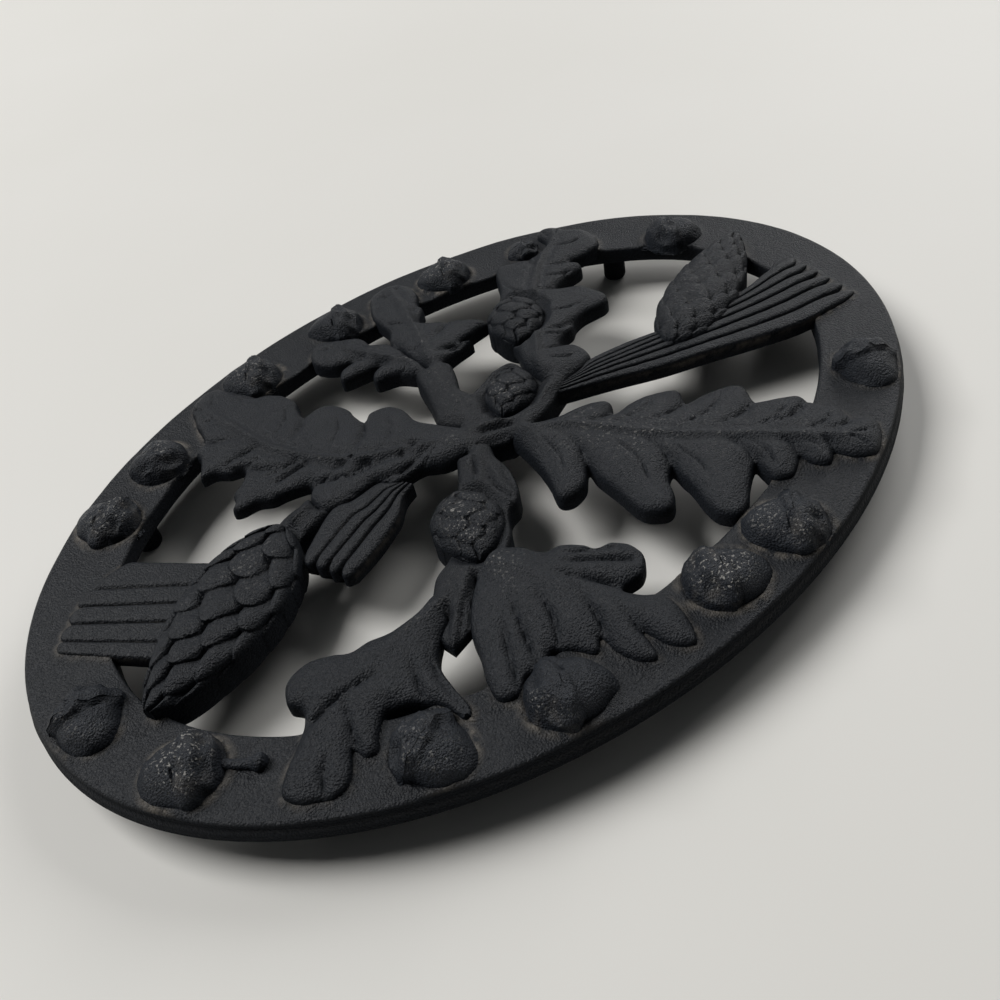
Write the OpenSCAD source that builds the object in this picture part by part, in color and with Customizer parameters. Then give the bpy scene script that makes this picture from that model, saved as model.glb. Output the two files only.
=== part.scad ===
/* [Oval rim] */
// Half of the length across the top of the rim
half_length = 125; // [105:1:145]
// Half of the width across the top of the rim
half_width = 88.5; // [76:0.5:100]
// Width of the flat band
rim_width = 20; // [17:0.5:23]
// Thickness of the rim and of the web between the leaves
plate_thickness = 5; // [4:0.5:7]
// How far the lower half of the outer wall flares out
rim_flare = 1; // [0.5:0.1:1.5]
// Radius that breaks the sharp edges of the rim
rim_edge_radius = 0.5; // [0.2:0.1:0.8]

/* [Feet] */
// Height of the feet under the plate
foot_height = 9.5; // [7:0.5:13]
// Radius of a foot at its middle
foot_radius = 3.5; // [2.8:0.1:4.2]
// Radius of the flat spot that a foot stands on
foot_flat_radius = 2.2; // [1.5:0.1:2.6]
// Radius of the foot where it grows out of the rim
foot_root_radius = 4.3; // [4.3:0.1:5]
// Turn of the right-hand feet on the oval, in degrees from its long axis
foot_turn_right = 38; // [30:1:45]
// Turn of the left-hand feet on the oval, in degrees from its long axis
foot_turn_left = 46; // [36:1:55]

/* [Leaves] */
// Height of a leaf's edge over the top of the rim
leaf_edge = 0.8; // [0.4:0.1:1.5]
// Thickness of a leaf at its edge, from its top down to its back
leaf_thickness = 3.2; // [2.5:0.1:4]
// Height of a big leaf's crown over its edge
leaf_crown = 4.6; // [3:0.1:6]
// Height of a small leaf's crown over its edge
small_leaf_crown = 3.4; // [2:0.1:5]
// Height of the midrib over the crown
midrib_height = 0.7; // [0.3:0.1:1.2]

/* [Cones and needles] */
// Height of a pine cone over the top of the rim
cone_height = 7; // [5:0.1:9]
// Lift of the free edge of a cone scale
scale_lift = 1.5; // [0.8:0.1:2]
// Height of a needle over the top of the rim
needle_height = 2.6; // [1.5:0.1:4]
// Depth of the grooves between needles
needle_groove = 1.6; // [0.8:0.1:2.2]
// Height of the small closed cones over the top of the rim
small_cone_height = 6; // [4:0.1:8]
// Lift of the warts on the small closed cones
wart_lift = 0.9; // [0.4:0.1:1.4]

/* [Acorns] */
// Radius of an acorn's cup
cup_radius = 7.4; // [6:0.1:8.5]
// Radius of an acorn's nut
nut_radius = 6.5; // [5:0.1:7.5]
// Length of the nut past the cup
nut_length = 8.6; // [7:0.1:11]
// Length of the cup
cup_length = 7; // [5.5:0.1:8.5]
// Depth of an acorn's middle line under the top of the rim
acorn_sink = 1.8; // [1:0.1:3]

/* [Twigs] */
// Height of the twigs and the hub over the top of the rim
twig_height = 3.2; // [2:0.1:5]

/* [Hidden] */

plate_top = foot_height + plate_thickness;
leaf_back = plate_top + leaf_edge - leaf_thickness;
overrun = 1;
oval_steps = 96;

// Places in the plan are hundredths of the half length and of the half width,
// with the share of a lobe as a third number where an outline has lobes
function place(p) = [p[0] * half_length / 100, p[1] * half_width / 100];
function places(list) = [for (p = list) place(p)];
function placed(rows) = [for (r = rows) concat(place(r), r[2])];
function mix(a, b, share) = a + (b - a) * share;
function last_of(list) = list[len(list) - 1];
function reversed(list) = [for (i = [len(list) - 1:-1:0]) list[i]];
function rising(list) = [for (i = [0:len(list) - 1]) max([for (k = [0:i]) list[k]])];
function flat(p) = [p[0], p[1]];

// Point on a line of points, where t runs from nought to one
function along(list, t) =
    let (
        reach = t * (len(list) - 1),
        i = min(floor(reach), len(list) - 2)
    )
    mix(list[i], list[i + 1], reach - i);

// Twice the signed area of an outline
function turn_sum(list) =
    let (n = len(list))
    [for (i = [0:n - 1]) cross(list[i], list[(i + 1) % n])] * [for (i = [0:n - 1]) 1];

// Point of the oval at a turn, moved in by an inset square to the edge
function oval_point(turn, inset) =
    let (
        edge = [half_length * cos(turn), half_width * sin(turn)],
        out = [half_width * cos(turn), half_length * sin(turn)]
    )
    edge - inset * out / norm(out);
function oval(inset) = [for (i = [0:oval_steps - 1]) oval_point(360 * i / oval_steps, inset)];

// Triangles that fill a flat outline, cut off it a corner at a time
least_corner_share = 0.001;
function turn_at(a, b, c) = cross(b - a, c - a);
function holds(a, b, c, p) = turn_at(a, b, p) >= 0 && turn_at(b, c, p) >= 0 && turn_at(c, a, p) >= 0;
function cut_off(list, ring, at, tries, done) =
    let (n = len(ring))
    n < 4 || tries > n
        ? concat(done, [ring])
        : let (
            i = at % n,
            before = ring[(i + n - 1) % n],
            after = ring[(i + 1) % n],
            a = list[before],
            b = list[ring[i]],
            c = list[after],
            free = turn_at(a, b, c) > least_corner_share * norm(b - a) * norm(c - b)
                && len([for (k = ring)
                    if (k != before && k != ring[i] && k != after && holds(a, b, c, list[k])) k]) == 0
        )
        free
            ? cut_off(
                list, [for (k = [0:n - 1]) if (k != i) ring[k]], i + 1, 0,
                concat(done, [[before, ring[i], after]]))
            : cut_off(list, ring, i + 1, tries + 1, done);
function fill(list) =
    let (ring = [for (k = [0:len(list) - 1]) k])
    cut_off(list, turn_sum(list) > 0 ? ring : reversed(ring), 0, 0, []);

// Closed solid under a skin of triangles: walls from the skin's edge down to a flat back
module solid(points, skin, edge, back) {
    count = len(edge);
    base = len(points);
    outline = [for (k = edge) flat(points[k])];
    walls = [
        for (k = [0:count - 1])
            let (next = (k + 1) % count)
            for (face = [[edge[k], edge[next], base + next], [edge[k], base + next, base + k]]) face
    ];
    sides = concat(skin, walls);
    polyhedron(
        points = concat(points, [for (p = outline) concat(p, back)]),
        faces = concat(
            turn_sum(outline) > 0 ? sides : [for (f = sides) reversed(f)],
            [for (f = fill(outline)) [for (k = f) base + k]]
        ),
        convexity = 10
    );
}

// Solid under a grid of surface points
module relief(grid, back) {
    rows = len(grid);
    across = len(grid[0]);
    edge = concat(
        [for (i = [0:rows - 1]) i * across],
        [for (j = [1:across - 2]) (rows - 1) * across + j],
        [for (i = [rows - 1:-1:0]) i * across + across - 1],
        [for (j = [across - 2:-1:1]) j]
    );
    skin = [
        for (i = [0:rows - 2]) for (j = [0:across - 2])
            let (a = i * across + j, b = a + 1, c = a + across, d = c + 1)
            for (face = [[a, b, d], [a, d, c]]) face
    ];
    solid([for (r = grid) for (p = r) p], skin, edge, back);
}
function edge_of(grid) =
    let (rows = len(grid) - 1, side = len(grid[0]) - 1)
    concat(
        [for (r = grid) flat(r[0])],
        [for (j = [1:side - 1]) flat(grid[rows][j])],
        [for (i = [rows:-1:0]) flat(grid[i][side])],
        [for (j = [side - 1:-1:1]) flat(grid[0][j])]
    );

// Mound around a ridge line. Each edge point has a foot on the ridge, back along a side
// vein whose slant is set for each side, and the surface swells on a lobe and dips in a bay
level_shares = [1, 0.82, 0.5, 0.2];
bay_depth_share = 0.45;
tip_crown_share = 0.6;
crown_power = 2.4;
ridge_steps = 32;
function foot_share(p, ridge, slant) =
    let (
        chord = last_of(ridge) - ridge[0],
        length = norm(chord),
        out = flat(p) - ridge[0],
        reach = out * chord / length,
        off = abs(cross(chord, out)) / length
    )
    min(max((reach - slant * off) / length, 0), 1);
function feet_of(side, ridge, slant) =
    [for (share = rising([for (p = side) foot_share(p, ridge, slant)])) round(share * ridge_steps)];
function swell(v, lobe, crown) =
    leaf_edge + crown * (1 - pow(v, crown_power)) * (1 - bay_depth_share * (1 - lobe) * sin(180 * v));
module mound(left, right, ridge, slants, crown, back) {
    rows = concat(left, reversed(right));
    feet = concat(feet_of(left, ridge, slants[0]), reversed(feet_of(right, ridge, slants[1])));
    count = len(rows);
    levels = len(level_shares);
    rises = [for (k = [0:ridge_steps]) crown * mix(1, tip_crown_share, k / ridge_steps)];
    crest = [for (k = [0:ridge_steps])
        concat(along(ridge, k / ridge_steps), plate_top + leaf_edge + rises[k] + midrib_height)];
    surface = [
        for (i = [0:count - 1]) for (v = level_shares)
            concat(
                mix(flat(crest[feet[i]]), flat(rows[i]), v),
                plate_top + swell(v, rows[i][2], rises[feet[i]])
            )
    ];
    base = count * levels;
    skin = [
        for (i = [0:count - 1]) for (k = [0:levels - 2])
            let (p = i * levels + k, q = (i + 1) % count * levels + k)
            for (face = [[p, p + 1, q + 1], [p, q + 1, q]]) face
    ];
    cap = [
        for (i = [0:count - 1])
            let (
                next = (i + 1) % count,
                p = i * levels + levels - 1,
                q = next * levels + levels - 1,
                way = feet[next] < feet[i] ? -1 : 1,
                hops = abs(feet[next] - feet[i])
            )
            for (face = concat(
                [[p, base + feet[next], q]],
                [for (h = [0:1:hops - 1])
                    [p, base + feet[i] + way * h, base + feet[i] + way * (h + 1)]]
            )) face
    ];
    solid(
        concat(surface, crest),
        concat(skin, cap),
        [for (i = [0:count - 1]) i * levels],
        back
    );
}

// Space that a neighbour fills, cut out of a piece that meets it
module space_of(outline) {
    translate([0, 0, foot_height - overrun])
        linear_extrude(plate_thickness + cone_height * 2 + overrun)
            polygon(outline);
}
module rim_space() {
    translate([0, 0, foot_height - overrun])
        linear_extrude(plate_thickness + overrun)
            difference() {
                polygon(oval(-rim_flare - overrun));
                polygon(oval(rim_width));
            }
}

// Big leaf from the hub to the front right
front_right_slant_shares = [0.2, 0.3];
front_right_rib_shares = [[6, -10], [13.5, -21], [23, -42], [35, -62], [48, -84]];
front_right_left_shares = [
    [3, -8, 0], [2.5, -14, 0.5], [1.5, -22, 0.8], [0, -29, 0.8], [-2, -36, 1], [0, -38.8, 1],
    [4, -37.7, 1], [7.8, -33, 0], [7, -38, 0.5], [6.6, -46, 0.9], [6, -56, 1], [8, -60.5, 1],
    [10.3, -61.6, 1], [13, -59, 1], [15.5, -53.5, 0.6], [18.3, -51, 0], [17.6, -55.5, 0.6],
    [17, -60, 0.9], [15.3, -67, 1], [15, -72, 1], [17, -75.8, 1], [20.5, -74.8, 1],
    [25, -70, 0.7], [29.3, -66.5, 0], [29, -69.5, 0.7], [28.5, -74, 1], [31, -76.6, 1],
    [34, -75.3, 0.7], [36.3, -73.5, 0], [36.3, -77.5, 0.9], [38, -81, 1], [40.2, -80, 0.6],
    [41.8, -78.3, 0], [43.8, -83, 0.8], [47.8, -87.5, 1]
];
front_right_right_shares = [
    [9, -8, 0], [13, -10.7, 0.5], [17, -12, 0.8], [21, -13.5, 1], [23.5, -16, 1], [24, -19, 0.8],
    [22.3, -22.6, 0], [26, -23, 0.7], [30, -24, 1], [34.3, -27.5, 1], [35.8, -30.5, 1],
    [34.2, -35.3, 0], [37.5, -36.5, 0.7], [43, -39, 1], [45, -42, 1], [44.8, -45, 0.8],
    [43.3, -50, 0], [46.5, -53.3, 0.8], [49.6, -57, 1], [49.8, -61, 0], [50.5, -65, 0.8],
    [51.8, -69, 1], [51, -72.5, 0.8], [50, -75.5, 0], [51, -79, 0.8], [51.2, -83.5, 1],
    [50, -86.5, 1]
];

// Big leaf from the hub to the back left
back_left_slant_shares = [0.2, 0.5];
back_left_rib_shares = [[-6, 4], [-15, 11], [-26, 23], [-33, 42], [-36, 64], [-37.5, 84]];
back_left_left_shares = [
    [-6, -3, 0], [-11, -1.5, 0.3], [-15, 2.5, 0.8], [-21, 3, 1], [-22.6, 6, 0.8], [-24, 8.2, 0],
    [-30, 8, 0.8], [-35, 9.3, 1], [-36.3, 13, 1], [-35.8, 18, 0.7], [-33.8, 22.3, 0],
    [-38.5, 25.3, 0.7], [-44.5, 28.3, 1], [-48, 30.7, 1], [-47.7, 34, 1], [-45.5, 37, 0.8],
    [-41, 44.7, 0], [-43.5, 48.5, 0.7], [-47.3, 50, 1], [-48, 54, 1], [-47, 60, 0.9],
    [-46, 63.5, 0.6], [-43, 66.5, 0], [-42, 71, 0.7], [-41.5, 76, 1], [-40.5, 80, 0.8],
    [-39.5, 85, 1]
];
back_left_right_shares = [
    [-2, 8, 0], [-4.5, 15, 0.2], [-6.6, 21, 0.6], [-6.3, 28.5, 1], [-8, 34, 1], [-12, 36.3, 1],
    [-14.4, 34.5, 0], [-14.8, 39, 0.7], [-14.5, 43, 1], [-16, 49.5, 1], [-19, 51.5, 0.8],
    [-22.6, 51.7, 0], [-22.3, 56, 0.7], [-21, 60.5, 1], [-22, 67, 1], [-24.3, 71.3, 0.8],
    [-26.5, 73, 0.2], [-27.3, 77, 0.7], [-29.5, 83, 1], [-31, 88, 1], [-34, 89.5, 1],
    [-36.5, 88.5, 1]
];

// Leaf from the hub to the back right
back_right_slant_shares = [0.5, 0.5];
back_right_rib_shares = [[22, 10], [31, 27], [39, 41], [51, 56], [63, 66]];
back_right_left_shares = [
    [20, 6, 0], [21, 16, 0.3], [24, 26, 0.6], [25.5, 36, 0.8], [27, 43, 1], [30, 47.5, 0.7],
    [34, 51, 0.7], [37.5, 57, 1], [40.5, 64, 1], [43, 67, 0.8], [46.5, 65.5, 0.3], [50.5, 62.5, 0],
    [55.5, 62.5, 0.2], [58.5, 66, 0.6], [59, 71, 0.8], [61.5, 74, 1]
];
back_right_right_shares = [
    [24, 0, 0], [28, 0.5, 0.6], [32, 2, 1], [33.4, 6, 1], [33, 11, 0.8], [31, 14, 0],
    [33.5, 17.5, 0.8], [37, 18.3, 1], [39.5, 20.5, 0], [43, 21.3, 0.8], [49, 20.5, 1],
    [51.5, 23.5, 1], [51.2, 30, 1], [50, 35, 0.7], [46, 39.5, 0], [50, 42, 0.7], [55.5, 42.5, 1],
    [57.3, 45.5, 0.8], [56.5, 48.8, 0], [61.5, 48, 0.8], [66, 49, 1], [68.5, 54, 1],
    [68.8, 61, 1], [66, 66, 0.8], [65, 71, 1]
];

// Small leaf at the back, right of its twig
small_back_slant_shares = [0.6, 0.6];
small_back_rib_shares = [[8, 42], [12, 56], [16, 72], [19, 88]];
small_back_left_shares = [
    [6, 40, 0], [6, 47, 0.6], [6.2, 54, 1], [6, 61, 0.5], [8.5, 67, 0.8], [9, 73, 1],
    [9.5, 79, 0.6], [11.5, 85, 1], [14, 90, 1], [17.5, 91.5, 1]
];
small_back_right_shares = [
    [10, 38, 0], [14, 39, 0.8], [19.5, 40, 1], [17.5, 43, 0], [22, 43.5, 0.8], [26.7, 44.5, 1],
    [24.5, 50, 0.8], [20.5, 56, 0], [17.5, 60, 0.7], [16.5, 64, 1], [20, 69, 0.8], [20.5, 73, 0],
    [23, 78, 0.9], [23.8, 85, 1], [21.5, 90, 1]
];

// Small leaf beside it that leans to the left
small_side_slant_shares = [0.3, 0.6];
small_side_rib_shares = [[5, 43], [2, 53], [-1, 64], [-3, 76]];
small_side_left_shares = [
    [2.5, 40, 0], [0, 45, 0.6], [-4.5, 48, 1], [-3.5, 52, 0.6], [-0.5, 54, 0], [-5, 55.5, 0.8],
    [-9.5, 57.5, 1], [-8, 62, 0.8], [-4, 63.5, 0], [-8, 66.5, 0.8], [-10.5, 72.5, 1], [-9, 79, 1],
    [-5.5, 82, 1]
];
small_side_right_shares = [
    small_back_left_shares[0], small_back_left_shares[1], small_back_left_shares[2],
    small_back_left_shares[3], [3, 66, 0.6], [3, 70, 0.8], [2, 74, 1], [-2, 78.5, 1]
];

// Leaf at the front left
front_left_slant_shares = [0.4, 0.45];
front_left_rib_shares = [[-36, -42], [-46, -44.5], [-56, -47.5], [-64, -51], [-71.5, -56]];
front_left_left_shares = [
    [-35, -47, 0], [-39, -51, 0.4], [-42, -56, 0.8], [-43, -64, 1], [-43.5, -71, 1],
    [-45.5, -72.5, 1], [-46.6, -66, 0.8], [-49.5, -61, 0.4], [-54, -58, 0], [-57, -61, 0.6],
    [-59.2, -64.8, 1], [-61.2, -64, 1], [-62, -60.5, 0], [-64, -64.5, 0.8], [-66, -67, 1],
    [-68.5, -67.5, 1], [-71, -65.5, 1]
];
front_left_right_shares = [
    [-34, -38, 0], [-38.5, -39.7, 0.3], [-44, -39.5, 0.5], [-48, -37.8, 0.8], [-51.5, -37.3, 0.3],
    [-54, -34.5, 0.8], [-58.5, -31.8, 1], [-63, -33, 1], [-65.3, -38.5, 1], [-64, -42.5, 0],
    [-65.3, -46.5, 0.8], [-68, -50, 0.8], [-72, -54, 1], [-74.7, -58.5, 1], [-73.5, -63, 1]
];

// Leaf at the front, with two rounded tips on the rim
front_slant_shares = [0.5, 0.45];
front_rib_shares = [[-21, -43], [-19, -52], [-17, -62], [-15.5, -73], [-13.5, -83]];
front_left_edge_shares = [
    [-26, -42, 0], [-30, -47, 0.3], [-34, -54, 0.6], [-36, -61, 0.8], [-38.5, -68, 1],
    [-39.5, -74, 1], [-37, -76.5, 1], [-33.5, -74, 0], [-30.5, -75, 0.9], [-27, -73, 0],
    [-24.5, -76, 0.9], [-22, -81, 1], [-19.5, -78.5, 0], [-19.5, -84, 0.8], [-18.5, -89, 1],
    [-16, -92, 1], [-14.3, -88, 0.6], [-13.6, -84.5, 0]
];
front_right_edge_shares = [
    [-17, -40, 0], [-15, -43, 0.3], [-13.3, -48, 0.4], [-10, -49.3, 0.8], [-7.2, -53.5, 1],
    [-6, -56.5, 0.3], [-3, -58.5, 0.8], [-1.2, -63, 1], [-1.6, -68, 1], [-5, -71.8, 1],
    [-9.5, -71.6, 0], [-8.3, -76, 0.6], [-5.6, -80, 1], [-6, -87, 1], [-8, -93.5, 1],
    [-9.8, -95.2, 1], [-12.5, -91.5, 1]
];

// Twigs and hub, whose ends are the ends of the leaves that they carry
twig_slant_shares = [0.5, 0.4];
hub_ridge_shares = [[-2, 3], [8, -1], [20, 1]];
hub_left_shares = [
    back_left_right_shares[0], [7, 18, 0.6], [11, 20, 0.8],
    [15.5, 21.4, 1], [19.8, 19, 0.6], back_right_left_shares[0]
];
hub_right_shares = [
    back_left_left_shares[0], [-1, -5, 0.5], front_right_left_shares[0],
    front_right_right_shares[0], [14, -6, 0.5], [19, -3, 0.5], back_right_right_shares[0]
];
twig_front_ridge_shares = [[-6, -7], [-13, -20], [-21, -33], [-28, -42], [-34, -49]];
twig_front_left_shares = [
    back_left_left_shares[0], back_left_left_shares[1], [-13, -8, 1], [-16, -14, 0.8],
    [-20, -20, 1], [-23, -28, 0.8], [-27, -31.5, 0.6], [-31, -34, 1], front_left_right_shares[0],
    front_left_left_shares[0], front_left_left_shares[1], [-38.5, -55.5, 0.2]
];
twig_front_right_shares = [
    hub_right_shares[1], [-2.5, -10, 1], [-3, -17, 0.8], [-5, -24, 1], [-7.5, -28, 0.8],
    [-11, -30, 0.6], [-14, -36, 1], front_right_edge_shares[0], front_left_edge_shares[0],
    front_left_edge_shares[1], front_left_edge_shares[2]
];
twig_back_ridge_shares = [[2, 19], [4, 28], [6, 37]];
twig_back_left_shares = [
    back_left_right_shares[0], back_left_right_shares[1], [-2.5, 20, 0.6], [0, 29, 0.8], [1.5, 36, 1],
    small_side_left_shares[0]
];
twig_back_right_shares = [
    hub_left_shares[1], [6.5, 23, 0.8], [9, 30, 0.8], [10.5, 35, 1], small_back_right_shares[0],
    small_back_left_shares[0]
];
twig_left_ridge_shares = [[-37, 14], [-41, 12.5], [-45, 12]];
twig_left_left_shares = [back_left_left_shares[9], [-40, 17.5, 1], [-46, 16, 0.6]];
twig_left_right_shares = [
    back_left_left_shares[8], back_left_left_shares[7], [-41, 6.5, 0.6], [-47, 6, 0.6]
];

// Egg-shaped mound over an axis, with overlapping scales that open to the tip
egg_end_share = 0.12;
function egg(s) = pow(sin(180 * pow(s, egg_powers[0])), egg_powers[1]);
rise_share = 0.8;
bow_share = 1.1;
axis_inset_share = 0.01;
egg_powers = [0.8, 0.62, 0.7];
function ramp(f) = f < rise_share ? f / rise_share : (1 - f) / (1 - rise_share);
function scale_shape(r, a, n, phase) =
    let (
        c = a * n / 2 + phase / 2,
        off = 2 * abs(c - floor(c) - 0.5),
        q = (r - phase - bow_share * off * off) / 2
    )
    ramp(q - floor(q));
function cone_grid(ends, half, height, lift, scales, steps) =
    let (
        start = place(ends[0]),
        axis = place(ends[1]) - start,
        side = [-axis[1], axis[0]] / norm(axis)
    )
    [
        for (i = [0:steps[0]])
            let (
                s = mix(axis_inset_share, 1 - axis_inset_share, i / steps[0]),
                r = s * scales[0],
                wide = half * max(egg(s), egg_end_share)
            )
            [for (j = [0:steps[1]])
                let (
                    turn = 180 * j / steps[1],
                    v = -cos(turn),
                    bump = max(scale_shape(r, v, scales[1], 0), scale_shape(r, v, scales[1], 1)),
                    body = sin(turn) * pow(egg(s), egg_powers[2]),
                    rise = leaf_edge + (height - leaf_edge - lift) * body
                )
                concat(start + axis * s + side * wide * v, plate_top + rise + lift * bump * sin(turn))]
    ];
pine_cone_left_shares = [[-44, 13], [-84, -17]];
pine_cone_right_shares = [[46, -13], [89, 13]];
small_cone_front_shares = [[-17, -16], [-22, -38]];
small_cone_back_shares = [[36, 46], [25, 26]];
small_cone_centre_shares = [[17.2, 16.8], [5, 3]];
pine_cone_left_half = 12.6;
pine_cone_right_half = 10.4;
small_cone_half = 8;
centre_cone_half = 6.6;
pine_cone_steps = [28, 16];
small_cone_steps = [14, 12];
left_scales = [9, 4];
right_scales = [12, 4];
small_scales = [6, 3];
function pine_cone_left_grid() = cone_grid(
    pine_cone_left_shares, pine_cone_left_half, cone_height, scale_lift, left_scales, pine_cone_steps);
function pine_cone_right_grid() = cone_grid(
    pine_cone_right_shares, pine_cone_right_half, cone_height, scale_lift, right_scales,
    pine_cone_steps);
function small_cone_grid(ends, half) = cone_grid(
    ends, half, small_cone_height, wart_lift, small_scales, small_cone_steps);

// Bunch of needles between two edges, ribbed along its length
needle_steps = 4;
needle_arch_share = 0.35;
needle_counts = [5, 5, 6];
function needle_rise(needles, share) =
    plate_top
    + (needle_height - needle_groove * (1 - abs(sin(180 * needles * share))))
    * (1 - needle_arch_share * pow(2 * share - 1, 2));
function needle_grid(near, far, needles) =
    [
        for (i = [0:len(near) - 1])
            [for (k = [0:needles * needle_steps])
                let (share = k / (needles * needle_steps))
                concat(mix(near[i], far[i], share), needle_rise(needles, share))]
    ];
needles_right_near_shares = [
    hub_right_shares[5], [30, -10.5], [40, -18], [50, -24], [60, -30.5], [70, -36], [80, -38.5],
    [86.5, -40]
];
needles_right_far_shares = [
    back_right_right_shares[0], back_right_right_shares[1], back_right_right_shares[2],
    [42, -1], [56, -8], [70, -10.5], [80, -9.5], [90, -8.5]
];
needles_inner_near_shares = [
    [-19, -1], [-22.5, -3], [-26, -7.5], [-30, -10.5], [-35, -13.5], [-42, -16.5]
];
needles_inner_far_shares = [
    back_left_left_shares[3], back_left_left_shares[4], back_left_left_shares[5],
    back_left_left_shares[6], back_left_left_shares[7]
];
needles_inner_foot_row = 4;
needles_left_root_shares = [0.72, 0.24];
needles_left_end_shares = [[-91, 22.5], [-89, 26], [-84.5, 33], [-78, 38], [-71, 38.5]];
needles_left_rows = 5;
function cone_edge(ends, half, s, way) =
    let (
        start = place(ends[0]),
        axis = place(ends[1]) - start
    )
    start + axis * s + way * [-axis[1], axis[0]] / norm(axis) * half * egg(s);
function needles_inner_grid() =
    let (
        s = mix(axis_inset_share, 1 - axis_inset_share, needles_inner_foot_row / pine_cone_steps[0]),
        foot = cone_edge(pine_cone_left_shares, pine_cone_left_half, s, 1)
    )
    needle_grid(
        places(needles_inner_near_shares), concat(places(needles_inner_far_shares), [foot]),
        needle_counts[1]);
function needles_left_grid() =
    let (
        ends = places(needles_left_end_shares),
        roots = needles_left_root_shares,
        steps = needle_counts[0] * needle_steps
    )
    [
        for (i = [0:needles_left_rows])
            [for (k = [0:steps])
                let (
                    share = k / steps,
                    root = cone_edge(
                        pine_cone_left_shares, pine_cone_left_half, mix(roots[0], roots[1], share),
                        -1)
                )
                concat(
                    mix(root, along(ends, share), i / needles_left_rows),
                    needle_rise(needle_counts[0], share)
                )]
    ];

// Rim: a flat band whose outer wall flares out towards the back
flare_start_share = 0.4;
flare_end_share = 0.62;
module rim() {
    profile = [
        [rim_edge_radius, plate_top],
        [0, plate_top - rim_edge_radius],
        [0, plate_top - plate_thickness * flare_start_share],
        [-rim_flare, plate_top - plate_thickness * flare_end_share],
        [-rim_flare, foot_height + rim_edge_radius],
        [rim_edge_radius - rim_flare, foot_height],
        [rim_width, foot_height],
        [rim_width, plate_top]
    ];
    sides = len(profile);
    color("#26282b")
        polyhedron(
            points = [
                for (i = [0:oval_steps - 1]) for (p = profile)
                    concat(oval_point(360 * i / oval_steps, p[0]), p[1])
            ],
            faces = [
                for (i = [0:oval_steps - 1]) for (k = [0:sides - 1])
                    let (
                        next = (i + 1) % oval_steps,
                        up = (k + 1) % sides,
                        a = i * sides + k,
                        b = i * sides + up,
                        c = next * sides + up,
                        d = next * sides + k
                    )
                    for (face = [[a, c, b], [a, d, c]]) face
            ],
            convexity = 4
        );
}

// Foot: a drafted peg with a rounded end and a flat spot to stand on
foot_inset_share = 0.62;
foot_draft_share = 0.7;
module foot(turn) {
    middle = oval_point(turn, rim_width * foot_inset_share);
    rounding = foot_radius - foot_flat_radius;
    color("#1d1e20")
        translate([middle[0], middle[1], 0])
            rotate_extrude($fn = 48)
                polygon(concat(
                    [[0, 0]],
                    [for (a = [0:15:90])
                        [foot_flat_radius + rounding * sin(a), rounding * (1 - cos(a))]],
                    [[foot_radius, foot_height * foot_draft_share]],
                    [[foot_root_radius, foot_height]],
                    [[0, foot_height]]
                ));
}

// Acorn lying on the rim: a cup with a rolled lip, a nut with a point, and a stub of stem
module acorn(p) {
    middle = place(p);
    lip = cup_radius * p[3];
    nut = nut_radius * p[3];
    cup = cup_length * p[3];
    length = nut_length * p[3];
    color("#2b2d30")
        translate([middle[0], middle[1], plate_top])
            intersection() {
                translate([0, 0, -acorn_sink])
                    rotate([0, 0, p[2]])
                        rotate([0, 90, 0])
                            rotate_extrude($fn = 40)
                                polygon(concat(
                                    [[0, -cup - stem_length]],
                                    [[stem_radius, -cup - stem_length]],
                                    [for (a = [15:15:75]) [lip * sin(a), -cup * cos(a)]],
                                    [[lip, -cup * lip_share]],
                                    [[lip, 0]],
                                    [[nut, 0]],
                                    [for (a = [15:15:75])
                                        [point_radius + (nut - point_radius) * cos(a), length * sin(a)]],
                                    [[point_radius, length]],
                                    [[0, length + point_length]]
                                ));
                translate([-half_length, -half_length, 0])
                    cube([half_length * 2, half_length * 2, cone_height * 2]);
            }
}
stem_radius = 1.3;
stem_length = 1.5;
point_radius = 0.9;
point_length = 1.2;
lip_share = 0.1;

// Each acorn: its place, the way its nut points in degrees, and its share of full size
acorn_left_shares = [[-53, 70, 60, 1], [-69, 57, 115, 1], [-91, -1, 80, 1], [-84, -35, -50, 1]];
acorn_front_shares = [[-53, -72, -90, 1], [-31, -83.5, 0, 1], [5, -87, -60, 1], [21, -87, 10, 1]];
acorn_right_shares = [[67, -62, 60, 1], [80, 30, 20, 1]];
acorn_back_shares = [[-22, 82, 0, 1], [3.5, 86, 0, 1], [33, 80, 40, 1], [53, 69.5, 70, 0.6]];

module oak_leaf(left, right, rib, slants, crown) {
    color("#2a2c2f")
        difference() {
            mound(placed(left), placed(right), places(rib), slants, crown, leaf_back);
            rim_space();
            children();
        }
}
module twig(left, right, ridge) {
    color("#27292c")
        mound(
            placed(left), placed(right), places(ridge), twig_slant_shares,
            twig_height - leaf_edge, foot_height);
}
module oak_leaf_front_right() {
    oak_leaf(front_right_left_shares, front_right_right_shares, front_right_rib_shares,
        front_right_slant_shares, leaf_crown);
}
module oak_leaf_back_left() {
    oak_leaf(back_left_left_shares, back_left_right_shares, back_left_rib_shares,
        back_left_slant_shares, leaf_crown);
}
module oak_leaf_back_right() {
    oak_leaf(back_right_left_shares, back_right_right_shares, back_right_rib_shares,
        back_right_slant_shares, leaf_crown)
        space_of(edge_of(small_cone_grid(small_cone_back_shares, small_cone_half)));
}
module oak_leaf_front_left() {
    oak_leaf(front_left_left_shares, front_left_right_shares, front_left_rib_shares,
        front_left_slant_shares, small_leaf_crown);
}
module oak_leaf_front() {
    oak_leaf(front_left_edge_shares, front_right_edge_shares, front_rib_shares,
        front_slant_shares, small_leaf_crown);
}
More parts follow.
